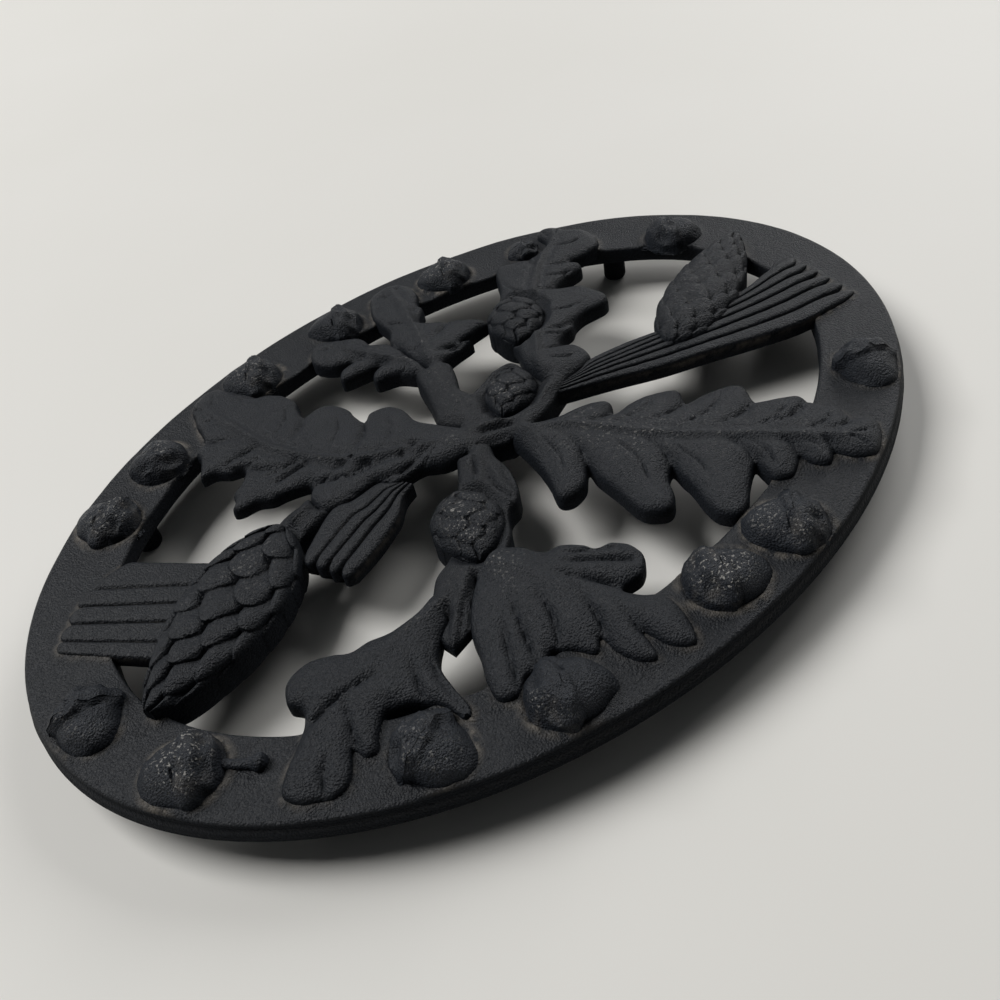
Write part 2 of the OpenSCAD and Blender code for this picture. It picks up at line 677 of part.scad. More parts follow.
module small_leaf_back() {
    oak_leaf(small_back_left_shares, small_back_right_shares, small_back_rib_shares,
        small_back_slant_shares, small_leaf_crown)
        space_of(edge_of(small_cone_grid(small_cone_back_shares, small_cone_half)));
}
module small_leaf_back_side() {
    oak_leaf(small_side_left_shares, small_side_right_shares, small_side_rib_shares,
        small_side_slant_shares, small_leaf_crown);
}
module pine_cone(grid) {
    color("#2f3134")
        difference() {
            relief(grid, foot_height);
            rim_space();
        }
}
module small_cone(ends, half) {
    color("#2f3134")
        relief(small_cone_grid(ends, half), foot_height);
}
module needles(grid) {
    color("#292b2e")
        difference() {
            relief(grid, leaf_back);
            rim_space();
            children();
        }
}
module needles_left() {
    needles(needles_left_grid());
}
module needles_inner() {
    color("#292b2e")
        relief(needles_inner_grid(), leaf_back);
}
module needles_right() {
    needles(needle_grid(
        places(needles_right_near_shares), places(needles_right_far_shares), needle_counts[2]))
        space_of(edge_of(pine_cone_right_grid()));
}
module twig_front() {
    difference() {
        twig(twig_front_left_shares, twig_front_right_shares, twig_front_ridge_shares);
        space_of(edge_of(small_cone_grid(small_cone_front_shares, small_cone_half)));
    }
}
module twig_left() {
    difference() {
        twig(twig_left_left_shares, twig_left_right_shares, twig_left_ridge_shares);
        space_of(edge_of(pine_cone_left_grid()));
    }
}
module twig_back() {
    twig(twig_back_left_shares, twig_back_right_shares, twig_back_ridge_shares);
}
module hub() {
    difference() {
        twig(hub_left_shares, hub_right_shares, hub_ridge_shares);
        space_of(edge_of(small_cone_grid(small_cone_centre_shares, centre_cone_half)));
    }
}

rim();
foot(foot_turn_right);  // foot_back_right
foot(180 - foot_turn_left);  // foot_back_left
foot(180 + foot_turn_left);  // foot_front_left
foot(-foot_turn_right);  // foot_front_right
hub();
oak_leaf_front_right();
oak_leaf_back_left();
oak_leaf_back_right();
oak_leaf_front_left();
oak_leaf_front();
small_leaf_back();
small_leaf_back_side();
pine_cone(pine_cone_left_grid());  // pine_cone_left
pine_cone(pine_cone_right_grid());  // pine_cone_right
needles_left();
needles_inner();
needles_right();
small_cone(small_cone_front_shares, small_cone_half);  // small_cone_front
small_cone(small_cone_back_shares, small_cone_half);  // small_cone_back
small_cone(small_cone_centre_shares, centre_cone_half);  // small_cone_centre
twig_front();
twig_left();
twig_back();
acorn(acorn_left_shares[0]);  // acorn_left_1
acorn(acorn_left_shares[1]);  // acorn_left_2
acorn(acorn_left_shares[2]);  // acorn_left_3
acorn(acorn_left_shares[3]);  // acorn_left_4
acorn(acorn_front_shares[0]);  // acorn_front_1
acorn(acorn_front_shares[1]);  // acorn_front_2
acorn(acorn_front_shares[2]);  // acorn_front_3
acorn(acorn_front_shares[3]);  // acorn_front_4
acorn(acorn_right_shares[0]);  // acorn_right_1
acorn(acorn_right_shares[1]);  // acorn_right_2
acorn(acorn_back_shares[0]);  // acorn_back_1
acorn(acorn_back_shares[1]);  // acorn_back_2
acorn(acorn_back_shares[2]);  // acorn_back_3
acorn(acorn_back_shares[3]);  // acorn_back_4
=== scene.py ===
import math

import bmesh
import bpy
import numpy as np
from mathutils import Matrix, Vector, noise
from mathutils.geometry import delaunay_2d_cdt


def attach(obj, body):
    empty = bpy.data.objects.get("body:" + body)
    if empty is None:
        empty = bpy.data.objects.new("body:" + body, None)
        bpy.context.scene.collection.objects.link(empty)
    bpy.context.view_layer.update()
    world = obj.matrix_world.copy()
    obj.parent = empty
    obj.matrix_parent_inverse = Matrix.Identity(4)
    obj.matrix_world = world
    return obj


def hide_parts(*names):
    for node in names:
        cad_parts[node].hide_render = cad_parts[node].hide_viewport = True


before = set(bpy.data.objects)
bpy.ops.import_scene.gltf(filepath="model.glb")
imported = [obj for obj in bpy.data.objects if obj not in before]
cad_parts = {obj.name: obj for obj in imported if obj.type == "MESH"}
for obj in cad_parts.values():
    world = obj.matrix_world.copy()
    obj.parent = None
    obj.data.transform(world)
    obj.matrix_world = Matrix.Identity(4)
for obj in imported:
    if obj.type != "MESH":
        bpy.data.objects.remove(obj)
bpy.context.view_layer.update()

# ---------------------------------------------------------------------------
# Feet
# Four short drafted pegs with rounded soles, cast in one with the rim. Like the whole
# trivet they are sand-cast iron under a matt black coating; here it is given a darker colour.

MM = 0.001


class Wire:
    """A socket of a node tree that adds and multiplies like a number"""

    def __init__(self, tree, socket=None):
        self.tree, self.socket = tree, socket

    def make(self, kind, sockets=None, out=0, **settings):
        """A node of some kind, its settings first and then the values of its sockets"""
        node = self.tree.nodes.new(kind)
        for key, value in settings.items():
            setattr(node, key, value)
        for key, value in (sockets or {}).items():
            self.plug(node.inputs[key], value)
        return Wire(self.tree, node.outputs[out]) if len(node.outputs) else None

    def plug(self, socket, value):
        if isinstance(value, Wire):
            self.tree.links.new(value.socket, socket)
        else:
            socket.default_value = value

    def maths(self, operation, *values):
        return self.make("ShaderNodeMath", dict(enumerate(values)), operation=operation)

    def __add__(self, other):
        return self.maths("ADD", self, other)

    def __sub__(self, other):
        return self.maths("SUBTRACT", self, other)

    def __rsub__(self, other):
        return self.maths("SUBTRACT", other, self)

    def __mul__(self, other):
        return self.maths("MULTIPLY", self, other)

    def __rtruediv__(self, other):
        return self.maths("DIVIDE", other, self)

    __radd__ = __add__
    __rmul__ = __mul__

    def held(self, low, high):
        """Nought under low, one over high, and a straight run between"""
        span = {"Value": self, "From Min": low, "From Max": high}
        return self.make("ShaderNodeMapRange", span)

    def tint(self, share, a, b):
        """Colour a turning into colour b by a share"""
        return self.make("ShaderNodeMix", {"Factor": share, 6: a, 7: b}, out=2, data_type="RGBA")


def coated_iron(name, shade, grit, crown=18.0, glint=0.0):
    """Cast iron under a matt black coating, with a sandy grain and soft lumps. Tops have a
    faint sheen and walls none. Over the height crown, in millimetres, pale patches are partly
    wear on the high spots and partly painted highlight, and pale dust lies where the
    attribute crease says that a corner is deep"""
    material = bpy.data.materials.new(name)
    material.use_nodes = True
    tree = material.node_tree
    tree.nodes.clear()
    w = Wire(tree)
    place = w.make("ShaderNodeTexCoord", out=3)
    facing = w.make("ShaderNodeTexCoord", out=1)
    height = w.make("ShaderNodeSeparateXYZ", {"Vector": place}, out=2) * (1 / MM)
    upward = w.make("ShaderNodeSeparateXYZ", {"Vector": facing}, out=2).held(0.25, 0.85)
    deep = w.make(
        "ShaderNodeAttribute", out=2, attribute_name="crease", attribute_type="GEOMETRY"
    )

    def cloud(size, detail, rough=0.5):
        """Noise whose clouds are about so many millimetres wide"""
        scale = {"Vector": place, "Scale": 1 / (size * MM)}
        return w.make("ShaderNodeTexNoise", {**scale, "Detail": detail, "Roughness": rough})

    grain, lump, patch, crumbs = cloud(0.42, 2, 0.6), cloud(2.6, 2), cloud(24, 2), cloud(0.7, 1)
    sand = 0.9 - w.make("ShaderNodeTexVoronoi", {"Vector": place, "Scale": 1 / (0.5 * MM)})
    top = height.held(crown, crown + 3)
    # Pale patches on the tops: partly wear on the high spots, partly painted highlight
    rubbed_and_highlight = top * patch.held(0.42, 0.6) * crumbs.held(0.6, 0.68) * glint
    dust = deep.held(0.25, 0.95) * lump.held(0.35, 0.65) * patch.held(0.38, 0.62)
    dark = (0.0036 * shade, 0.0043 * shade, 0.0056 * shade, 1)
    pale = (0.0175 * shade, 0.0202 * shade, 0.0250 * shade, 1)
    colour = w.tint(patch * 0.3 + grain.held(0.3, 0.7) * 0.7, dark, pale)
    colour = w.tint(dust * 0.8, colour, (0.17, 0.15, 0.125, 1))
    # The tops are tinted pale, partly as wear and partly as painted highlight
    colour = w.tint(rubbed_and_highlight * 0.72, colour, (0.36, 0.345, 0.32, 1))
    relief = grain * (0.34 * grit) + sand * (0.26 * grit) + lump * (0.16 * grit)
    bump = w.make("ShaderNodeBump", {"Height": relief, "Distance": MM, "Strength": 0.9})

    def skin(dull, sheen):
        return w.make(
            "ShaderNodeBsdfPrincipled",
            {
                "Base Color": colour,
                "Roughness": dull + grain * 0.2 - rubbed_and_highlight * 0.1,
                "Normal": bump,
                "Specular IOR Level": sheen,
            },
        )

    wall, crest = skin(dull=0.6, sheen=0.05), skin(dull=0.41, sheen=0.28)
    both = w.make("ShaderNodeMixShader", {0: upward, 1: wall, 2: crest})
    w.make("ShaderNodeOutputMaterial", {"Surface": both})
    return material


foot_iron = coated_iron("foot_iron", shade=0.75, grit=0.9)
for foot in ("foot_back_right", "foot_back_left", "foot_front_left", "foot_front_right"):
    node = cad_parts[foot]
    node.data.materials.clear()
    node.data.materials.append(foot_iron)

# ---------------------------------------------------------------------------
# Pine cones and small closed cones
# Two long cones with scales that overlap towards the rim, and three small closed ones
# with knobbly scales. Each is an egg cut through its axis, cast in one with the web.

HALF_LENGTH, HALF_WIDTH = 125.0, 88.5
RIM_TOP, WEB_BACK, HIGHEST = 14.5, 9.62, 21.3
SMALL_CONE = dict(top=6.6, around=2.9, lean=0.3)
CONES = {
    "pine_cone_left": dict(
        ends=[(-44, 13), (-84, -17)], half=12.6, top=6.8, lift=3.4, rows=8.5, around=3.4, lean=1.8
    ),
    "pine_cone_right": dict(
        ends=[(46, -13), (89, 13)], half=10.4, top=6.8, lift=2.2, rows=12, around=3.6, lean=1.1
    ),
    "small_cone_front": dict(
        ends=[(-15, -14.5), (-23, -38.5)], half=8.7, lift=1.7, rows=5.6, **SMALL_CONE
    ),
    "small_cone_back": dict(ends=[(36, 46), (25, 26)], half=8.4, lift=1.7, rows=5.6, **SMALL_CONE),
    "small_cone_centre": dict(
        ends=[(18.2, 15), (6, 1.4)], half=7.0, lift=1.5, rows=5.4, **SMALL_CONE
    ),
}
standing = []  # outlines of all that stands on the rim, for the rim, which comes last
cone_outlines = []


def placed(shares):
    """Places given in hundredths of the half length and half width, in millimetres"""
    p = np.array([s[:2] for s in shares], float).reshape(-1, 2)
    return p * (HALF_LENGTH / 100, HALF_WIDTH / 100)


def rough(points, size, seed=0.0):
    """Uneven casting skin: noise of a given size in millimetres, from -1 to 1"""
    return np.array([
        noise.noise(Vector((p[0] / size + seed, p[1] / size, p[2] / size))) for p in points
    ])


def in_scene(name, data):
    """A new object of the scene"""
    made = bpy.data.objects.new(name, data)
    bpy.context.scene.collection.objects.link(made)
    return made


def solid_piece(name, verts, faces, crease=None, sharp=48):
    """A mesh in place, from points in millimetres"""
    mesh = bpy.data.meshes.new(name)
    points = [tuple(v) for v in np.asarray(verts) * MM]
    mesh.from_pydata(points, [], [tuple(int(i) for i in f) for f in faces])
    if crease is not None:
        depth = mesh.attributes.new("crease", "FLOAT", "POINT")
        depth.data.foreach_set("value", np.asarray(crease, np.float32))
    mesh.validate()
    mesh.polygons.foreach_set("use_smooth", [True] * len(mesh.polygons))
    mesh.set_sharp_from_angle(angle=math.radians(sharp))
    return in_scene(name, mesh)


def faced_out(piece, merge=0.0):
    """The same piece with points closer than merge made one and its faces turned outwards"""
    net = bmesh.new()
    net.from_mesh(piece.data)
    if merge:
        bmesh.ops.remove_doubles(net, verts=net.verts, dist=merge)
    bmesh.ops.recalc_face_normals(net, faces=net.faces)
    net.to_mesh(piece.data)
    net.free()
    return piece


def egg_shape(s):
    """How wide a cone is along its axis, from nought at its ends to one"""
    return np.maximum(np.sin(np.pi * s**0.8), 1e-4) ** 0.62


def cone_relief(name, ends, half, top, lift, rows, around, lean):
    """Half an egg along its axis, whose skin rises in staggered, round-ended scales"""
    steps, turns = (230, 120) if name.startswith("pine") else (110, 80)
    start, end = placed(ends)
    axis = end - start
    size = np.linalg.norm(axis)
    ahead = axis / size
    side = np.array([-ahead[1], ahead[0]])
    s = np.linspace(0.006, 0.994, steps)[:, None] * np.ones((1, turns))
    turn = np.linspace(0, math.pi, turns)[None, :] * np.ones((steps, 1))
    egg = egg_shape(s)
    v = 2 * turn / math.pi - 1
    wobble = 0.10 * np.sin(9.1 * s + 3.7 * v) + 0.07 * np.sin(17.3 * s - 5.9 * v)

    def scale(phase):
        """One of the two staggered sets of scales: each swells, falls off and is round"""
        c = v * around / 2 + phase / 2 + wobble * 0.6
        off = 2 * np.abs(c - np.floor(c) - 0.5)
        q = (s * rows + wobble - phase + 0.7 * off * off) / 2
        f = q - np.floor(q)
        swell = np.sin(np.clip(f / 0.93, 0, 1) * math.pi * 0.62) ** 0.9
        fall = np.clip((1 - f) / 0.1, 0, 1) ** 0.7
        return swell * fall * np.sqrt(np.maximum(1 - 0.9 * off**2.4, 0))

    bump = np.maximum(scale(0), scale(1))
    body = np.sin(turn) ** 0.9 * egg**0.7
    rise = 0.5 + (top - 0.5 - lift) * body + lift * bump * np.sin(turn) ** 0.6
    flare = 1 + 0.12 * (bump - 0.6) * np.abs(np.cos(turn)) ** 4
    across = half * np.maximum(egg, 0.1) * -np.cos(turn) * flare
    overhang = lean * (bump - 0.5) * np.sin(turn) * np.clip(6 * (1 - s), 0, 1)
    place = start + ahead * (s * size)[..., None] + side * across[..., None]
    place = place + ahead * overhang[..., None]
    verts = np.column_stack([place.reshape(-1, 2), rise.reshape(-1)])
    skin = 0.16 * rough(verts, 2.4, 1.3) + 0.1 * rough(verts, 1.0, 2.7)
    verts[:, 2] += skin * np.sin(turn).reshape(-1) ** 0.5
    verts[:, 2] = np.minimum(verts[:, 2] + RIM_TOP, HIGHEST)
    faces = [
        (a, a + turns, a + turns + 1, a + 1)
        for i in range(steps - 1) for a in range(i * turns, (i + 1) * turns - 1)
    ]
    edge = [i * turns for i in range(steps)]
    edge += [(steps - 1) * turns + j for j in range(1, turns - 1)]
    edge += [i * turns + turns - 1 for i in range(steps - 1, -1, -1)]
    edge += range(turns - 2, 0, -1)
    base, n = len(verts), len(edge)
    lower = verts[edge].copy()
    lower[:, 2] = WEB_BACK + 0.03
    verts = np.vstack([verts, lower, [[*(start + axis / 2), WEB_BACK + 0.03]]])
    for k in range(n):
        j = (k + 1) % n
        faces.append((edge[k], edge[j], base + j, base + k)[::-1])
        faces.append((base + k, base + j, base + n)[::-1])
    low = np.concatenate([np.clip(0.9 - bump.reshape(-1), 0, 1), np.zeros(n + 1)])
    cone_outlines.append(np.vstack([lower[:, :2], lower[:1, :2]]))
    standing.append(cone_outlines[-1])
    return faced_out(solid_piece(name + "_relief", verts, faces, low * 0.6))


cone_iron = coated_iron("cone_iron", shade=1.1, grit=1.0, crown=18.5, glint=0.35)
small_cone_iron = coated_iron("small_cone_iron", shade=1.15, grit=1.2, crown=18.0, glint=0.9)
for name, cone in CONES.items():
    piece = cone_relief(name, **cone)
    piece.data.materials.append(cone_iron if name.startswith("pine") else small_cone_iron)
    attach(piece, "root")
    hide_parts(name)

# ---------------------------------------------------------------------------
# Oak leaves, hub and twigs
# Seven leaves that grow from a knot in the middle, and the twigs between them. Each is
# a shell about 3 mm thick: it swells between its edge and its midrib, dips into the
# bays, and has a raised midrib with a fine groove out to each lobe.

LEAF_BACK, LEAF_EDGE = 12.1, 1.1
# Knots of the midrib and of both sides, in hundredths, from the hub outwards. A knot's
# third number is nought in a bay and one on a lobe. Furrows and creases are cut in
LEAVES = {
    "oak_leaf_front_right": dict(
        rib=[(6, -10), (13.5, -21), (23, -42), (35, -62), (46.5, -81)],
        left=[
            (3, -8, 0), (2.5, -14, 0.5), (1.5, -22, 0.8), (0, -29, 0.8), (-2, -36, 1),
            (0, -38.8, 1), (4, -37.7, 1), (7.8, -33, 0), (7, -38, 0.5), (6.6, -46, 0.9),
            (6, -56, 1), (8, -60.5, 1), (10.3, -61.6, 1), (13, -59, 1), (15.5, -53.5, 0.6),
            (18.3, -51, 0), (17.6, -55.5, 0.6), (17, -60, 0.9), (15.3, -67, 1), (15, -72, 1),
            (17, -75.8, 1), (20.5, -74.8, 1), (25, -70, 0.7), (29.3, -66.5, 0), (29, -69.5, 0.7),
            (28.5, -74, 1), (31, -76.6, 1), (34, -75.3, 0.7), (36.3, -73.5, 0), (36.3, -77.5, 0.9),
            (38, -81, 1), (40.2, -80, 0.6), (41.2, -79.3, 0), (42.6, -84, 0.8), (46, -87.3, 1),
        ],
        right=[
            (9, -8, 0), (13, -10.7, 0.5), (17, -12, 0.8), (21, -13.5, 1), (23.5, -16, 1),
            (24, -19, 0.8), (22.3, -22.6, 0), (26, -23, 0.7), (30, -24, 1), (34.3, -27.5, 1),
            (35.8, -30.5, 1), (34.2, -35.3, 0), (37.5, -36.5, 0.7), (43, -39, 1), (45, -42, 1),
            (44.8, -45, 0.8), (43.3, -50, 0), (46.5, -53.3, 0.8), (49.6, -57, 1), (49.8, -61, 0),
            (50.5, -65, 0.8), (51.8, -69, 1), (51.3, -72, 0.8), (51.2, -74.5, 0), (53, -77.5, 0.8),
            (53, -81, 1), (50.5, -84.5, 1),
        ],
        crown=4.4, puff=5.0, raised=0.4, cleft=1.0,
    ),
    "oak_leaf_back_left": dict(
        rib=[(-6, 4), (-15, 11), (-26, 23), (-33, 42), (-36, 64), (-37.5, 84)],
        left=[
            (-6, -3, 0), (-11, -1.5, 0.3), (-15, 2.5, 0.8), (-21, 3, 1), (-22.6, 6, 0.8),
            (-24, 8.2, 0), (-30, 8, 0.8), (-35, 9.3, 1), (-36.3, 13, 1), (-35.8, 18, 0.7),
            (-33.8, 22.3, 0), (-38.5, 25.3, 0.7), (-41.5, 26.2, 1), (-44.2, 28.9, 1),
            (-47.6, 29.6, 1), (-49, 31.5, 1), (-47.2, 34.6, 1), (-46.6, 37.4, 0.8),
            (-43.6, 39.6, 0.6), (-41, 44.7, 0), (-43.9, 47.2, 0.7), (-46.2, 50.6, 1),
            (-49, 51.6, 1), (-48, 55.2, 1), (-46.2, 60, 0.9), (-46, 63.5, 0.6), (-43, 66.5, 0),
            (-42, 71, 0.7), (-41.5, 76, 1), (-40.5, 80, 0.8), (-39.5, 85, 1),
        ],
        right=[
            (-2, 8, 0), (-4.5, 15, 0.2), (-6.6, 21, 0.6), (-6.3, 28.5, 1), (-8, 34, 1),
            (-12, 36.3, 1), (-14.4, 34.5, 0), (-14.8, 39, 0.7), (-14.5, 43, 1), (-16, 49.5, 1),
            (-19, 51.5, 0.8), (-22.6, 51.7, 0), (-22.3, 56, 0.7), (-21, 60.5, 1), (-22, 67, 1),
            (-24.3, 71.3, 0.8), (-26.5, 73, 0.2), (-27.3, 77, 0.7), (-29.5, 83, 1), (-31, 88, 1),
            (-34, 89.5, 1), (-36.5, 88.5, 1),
        ],
        creases=[
            [(-40.7, 30.2), (-36.4, 30.3), (-31.3, 30.1)],
            [(-40.4, 34.3), (-36, 34.2), (-32.3, 33.5)],
            [(-29.8, 21.5), (-27.1, 21.0), (-23.7, 20.9)],
            [(-28.6, 16), (-25.2, 15.7), (-21.6, 15.3)],
            [(-17.6, 9.2), (-15.4, 10.1), (-12.2, 10.7)],
            [(-45.7, 50.7), (-41.6, 50.2), (-36.4, 49.4)],
        ],
        crown=3.6, puff=2.6, raised=0.6, cleft=1.15, back=13.2,
    ),
    "oak_leaf_back_right": dict(
        rib=[(22, 10), (31, 27), (39, 41), (51, 56), (63, 66)],
        left=[
            (20, 6, 0), (21, 16, 0.3), (24, 26, 0.6), (25.5, 36, 0.8), (27, 43, 1), (30, 47.5, 0.7),
            (34, 51, 0.7), (37.5, 57, 1), (40.5, 64, 1), (43, 67, 0.8), (46.5, 65.5, 0.3),
            (50.5, 62.5, 0), (55.5, 62.5, 0.2), (58.5, 66, 0.6), (59, 71, 0.8), (61.5, 74, 1),
        ],
        right=[
            (24, 0, 0), (28, 0.5, 0.6), (32, 2, 1), (33.4, 6, 1), (33, 11, 0.8), (31, 14, 0),
            (33.5, 17.5, 0.8), (37, 18.3, 1), (39.5, 20.5, 0), (43, 21.3, 0.8), (49, 20.5, 1),
            (51.5, 23.5, 1), (51.2, 30, 1), (50, 35, 0.7), (46, 39.5, 0), (50, 42, 0.7),
            (55.5, 42.5, 1), (57.3, 45.5, 0.8), (56.5, 48.8, 0), (61.5, 48, 0.8), (66, 49, 1),
            (68.5, 54, 1), (68.8, 61, 1), (66, 66, 0.8), (65, 71, 1),
        ],
        crown=4.2, puff=3.4, raised=0.5, cleft=1.1,
    ),
    "oak_leaf_front_left": dict(
        rib=[(-36, -42), (-46, -44.5), (-56, -47.5), (-64, -51), (-71.5, -56)],
        left=[
            (-35, -47, 0), (-39, -51, 0.4), (-42, -56, 0.8), (-43, -64, 1), (-43.5, -71, 1),
            (-45.5, -72.5, 1), (-46.6, -66, 0.8), (-49.5, -61, 0.4), (-54, -58, 0), (-57, -61, 0.6),
            (-59.2, -64.8, 1), (-61.2, -64, 1), (-62, -60.5, 0), (-64, -64.5, 0.8), (-66, -67, 1),
            (-68.5, -67.5, 1), (-71, -65.5, 1),
        ],
        right=[
            (-34, -38, 0), (-38.5, -39.7, 0.3), (-44, -39.5, 0.5), (-48, -37.8, 0.8),
            (-51.5, -37.3, 0.3), (-54, -34.5, 0.8), (-58.5, -31.8, 1), (-63, -33, 1),
            (-65.3, -38.5, 1), (-64, -42.5, 0), (-65.3, -46.5, 0.8), (-68, -50, 0.8), (-72, -54, 1),
            (-74.7, -58.5, 1), (-73.5, -63, 1),
        ],
        furrows=[
            [(-50, -49.5), (-56.5, -47.5), (-64, -48)], [(-57.5, -48), (-60.5, -58), (-62, -66)],
            [(-51.5, -56), (-56.5, -63), (-61, -66)], [(-64.5, -57), (-68.5, -62.5), (-70, -67)],
            [(-44.5, -49.5), (-47.5, -59), (-49, -67)], [(-42, -52), (-44, -62), (-44.5, -71)],
        ],
        crown=3.8, puff=4.6, raised=0.1, cleft=1.45,
    ),
    "oak_leaf_front": dict(
        rib=[(-21, -43), (-19, -52), (-17, -62), (-15.5, -73), (-13.5, -83)],
        left=[
            (-26, -42, 0), (-30, -47, 0.3), (-34, -54, 0.6), (-36, -61, 0.8), (-38.5, -68, 1),
            (-39.5, -74, 1), (-37, -76.5, 1), (-33.5, -74, 0), (-30.5, -75, 0.9), (-27, -73, 0),
            (-24.5, -76, 0.9), (-22, -81, 1), (-19.5, -78.5, 0), (-19.5, -84, 0.8), (-18.5, -89, 1),
            (-16, -92, 1), (-14.3, -88, 0.6), (-13.6, -84.5, 0),
        ],
        right=[
            (-17, -40, 0), (-15, -43, 0.3), (-13.3, -48, 0.4), (-10, -49.3, 0.8), (-7.2, -53.5, 1),
            (-6, -56.5, 0.3), (-3, -58.5, 0.8), (-1.2, -63, 1), (-1.6, -68, 1), (-5, -71.8, 1),
            (-9.5, -71.6, 0), (-8.3, -76, 0.6), (-5.6, -80, 1), (-6, -87, 1), (-8, -93.5, 1),
            (-9.8, -95.2, 1), (-12.5, -91.5, 1),
        ],
        furrows=[
            [(-15, -62), (-17.5, -75), (-20, -82)], [(-13, -75), (-14, -84), (-14.5, -89)],
            [(-16.5, -56), (-11, -68), (-9, -72)], [(-15, -54), (-9.5, -59.5), (-4, -67)],
            [(-14, -52), (-8.5, -55.5), (-3.5, -60.5)], [(-24.5, -52), (-28.5, -66), (-31, -75)],
            [(-27.5, -55), (-32, -65), (-35.5, -75)], [(-20, -53), (-22.5, -66), (-26.5, -75)],
        ],
        crown=4.0, puff=4.8, raised=0.1, cleft=1.45,
    ),
    "small_leaf_back": dict(
        rib=[(8, 42), (12, 56), (16, 72), (19, 88)],
        left=[
            (6, 40, 0), (6, 47, 0.6), (6.2, 54, 1), (6, 61, 0.5), (8.5, 67, 0.8), (9, 73, 1),
            (9.5, 79, 0.6), (11.5, 85, 1), (14, 90, 1), (17.5, 91.5, 1),
        ],
        right=[
            (10, 38, 0), (14, 39, 0.8), (19.5, 40, 1), (17.5, 43, 0), (22, 43.5, 0.8),
            (26.7, 44.5, 1), (24.5, 50, 0.8), (20.5, 56, 0), (17.5, 60, 0.7), (16.5, 64, 1),
            (20, 69, 0.8), (20.5, 73, 0), (23, 78, 0.9), (23.8, 85, 1), (21.5, 90, 1),
        ],
        crown=3.4, puff=3.0, raised=0.5, cleft=1.2,
    ),
    "small_leaf_back_side": dict(
        rib=[(5, 43), (2, 53), (-1, 64), (-3, 76)],
        left=[
            (2.5, 40, 0), (0, 45, 0.6), (-4.5, 48, 1), (-3.5, 52, 0.6), (-0.5, 54, 0),
            (-5, 55.5, 0.8), (-9.5, 57.5, 1), (-8, 62, 0.8), (-4, 63.5, 0), (-8, 66.5, 0.8),
            (-10.5, 72.5, 1), (-9, 79, 1), (-5.5, 82, 1),
        ],
        right=[
            (6, 40, 0), (6, 47, 0.6), (6.2, 54, 1), (6, 61, 0.5), (3, 66, 0.6), (3, 70, 0.8),
            (2, 74, 1), (-2, 78.5, 1),
        ],
        crown=3.2, puff=3.0, raised=0.5, cleft=1.2,
    ),
}
# A twig's free runs say between which knots its sides stand clear of its neighbours
TWIGS = {
    "hub": dict(
        rib=[(-2, 3), (8, -1), (20, 1)],
        left=[(-2, 8), (7, 18), (11, 20), (15.5, 21.4), (19.8, 19), (20, 6)],
        right=[(-6, -3), (-1, -5), (3, -8), (9, -8), (14, -6), (19, -3), (24, 0)],
        free_left=(1, 6), free_right=((1, 3), (3, 7)),
        furrows=[
            [(-5.1, -2.0), (-1.5, -4.0), (2.3, -6.3)], [(-1.7, 0.4), (1.9, -0.9), (5.7, -3.8)],
            [(6.1, -0.3), (9.8, -0.2), (13.7, -0.3)], [(1.4, 4.9), (6.3, 8.1), (10.5, 11.4)],
            [(13.7, 5.8), (17.0, 6.1), (19.8, 4.4)],
        ],
    ),
    "twig_front": dict(
        rib=[(-6, -7), (-13, -20), (-21, -33), (-28, -42), (-34, -49)],
        left=[
            (-6, -3), (-8.7, -2.2), (-10.6, -6), (-13.2, -11), (-17, -16), (-22, -26), (-27, -31.5),
            (-31, -34), (-34, -38), (-35, -47), (-39, -51), (-38.5, -55.5),
        ],
        right=[
            (-1, -5), (-2.5, -10), (-3, -17), (-5, -24), (-7.5, -28), (-11, -30), (-14, -36),
            (-17, -40), (-26, -42), (-30, -47), (-34, -54),
        ],
        free_left=(1, 9), free_right=((0, 8),), free_end=(10, 11, 10),
        furrows=[
            [(-28, -42.5), (-32.5, -48.5), (-36.3, -54.3)],
            [(-31, -41.5), (-34.8, -46.5), (-38, -52)], [(-5.8, -5.2), (-7.4, -8.5), (-9.2, -12.5)],
            [(-5, -9.2), (-7.4, -15.5), (-8.4, -21), (-8, -26.5)],
            [(-3.6, -15), (-5.2, -20), (-5.8, -24.5)],
        ],
        raised=0.25,
    ),
    "twig_back": dict(
        rib=[(2, 14), (3.5, 26), (6, 37)], raised=0.15,
        left=[(-2, 8), (-4.5, 15), (-2.5, 20), (0, 29), (1.5, 36), (2.5, 40)],
        right=[(7, 18), (6.5, 23), (9, 30), (10.5, 35), (10, 38), (6, 40)],
        free_left=(1, 6), free_right=((0, 5),),
    ),
    "twig_left": dict(
        rib=[(-37, 14), (-41, 12.5), (-45, 12)],
        left=[(-35.8, 18), (-40, 17.5), (-46, 16)],
        right=[(-36.3, 13), (-35, 9.3), (-41, 6.5), (-47, 6)],
        free_left=(0, 3), free_right=((1, 4),),
    ),
}


def smooth_line(knots, step=0.6):
    """A smooth line through some knots, with a point about every step"""
    p = np.asarray(knots, float)
    ring = np.vstack([2 * p[0] - p[1], p, 2 * p[-1] - p[-2]])
    out = []
    for i in range(len(p) - 1):
        a, b, c, d = ring[i : i + 4]
        steps = max(2, int(np.linalg.norm(c - b) / step))
        for t in np.arange(steps) / steps:
            bend = t * t * (a - 2.5 * b + 2 * c - 0.5 * d)
            out.append(b + 0.5 * t * (c - a) + bend + t * t * t * (1.5 * (b - c) + 0.5 * (d - a)))
    out.append(p[-1])
    return np.array(out)


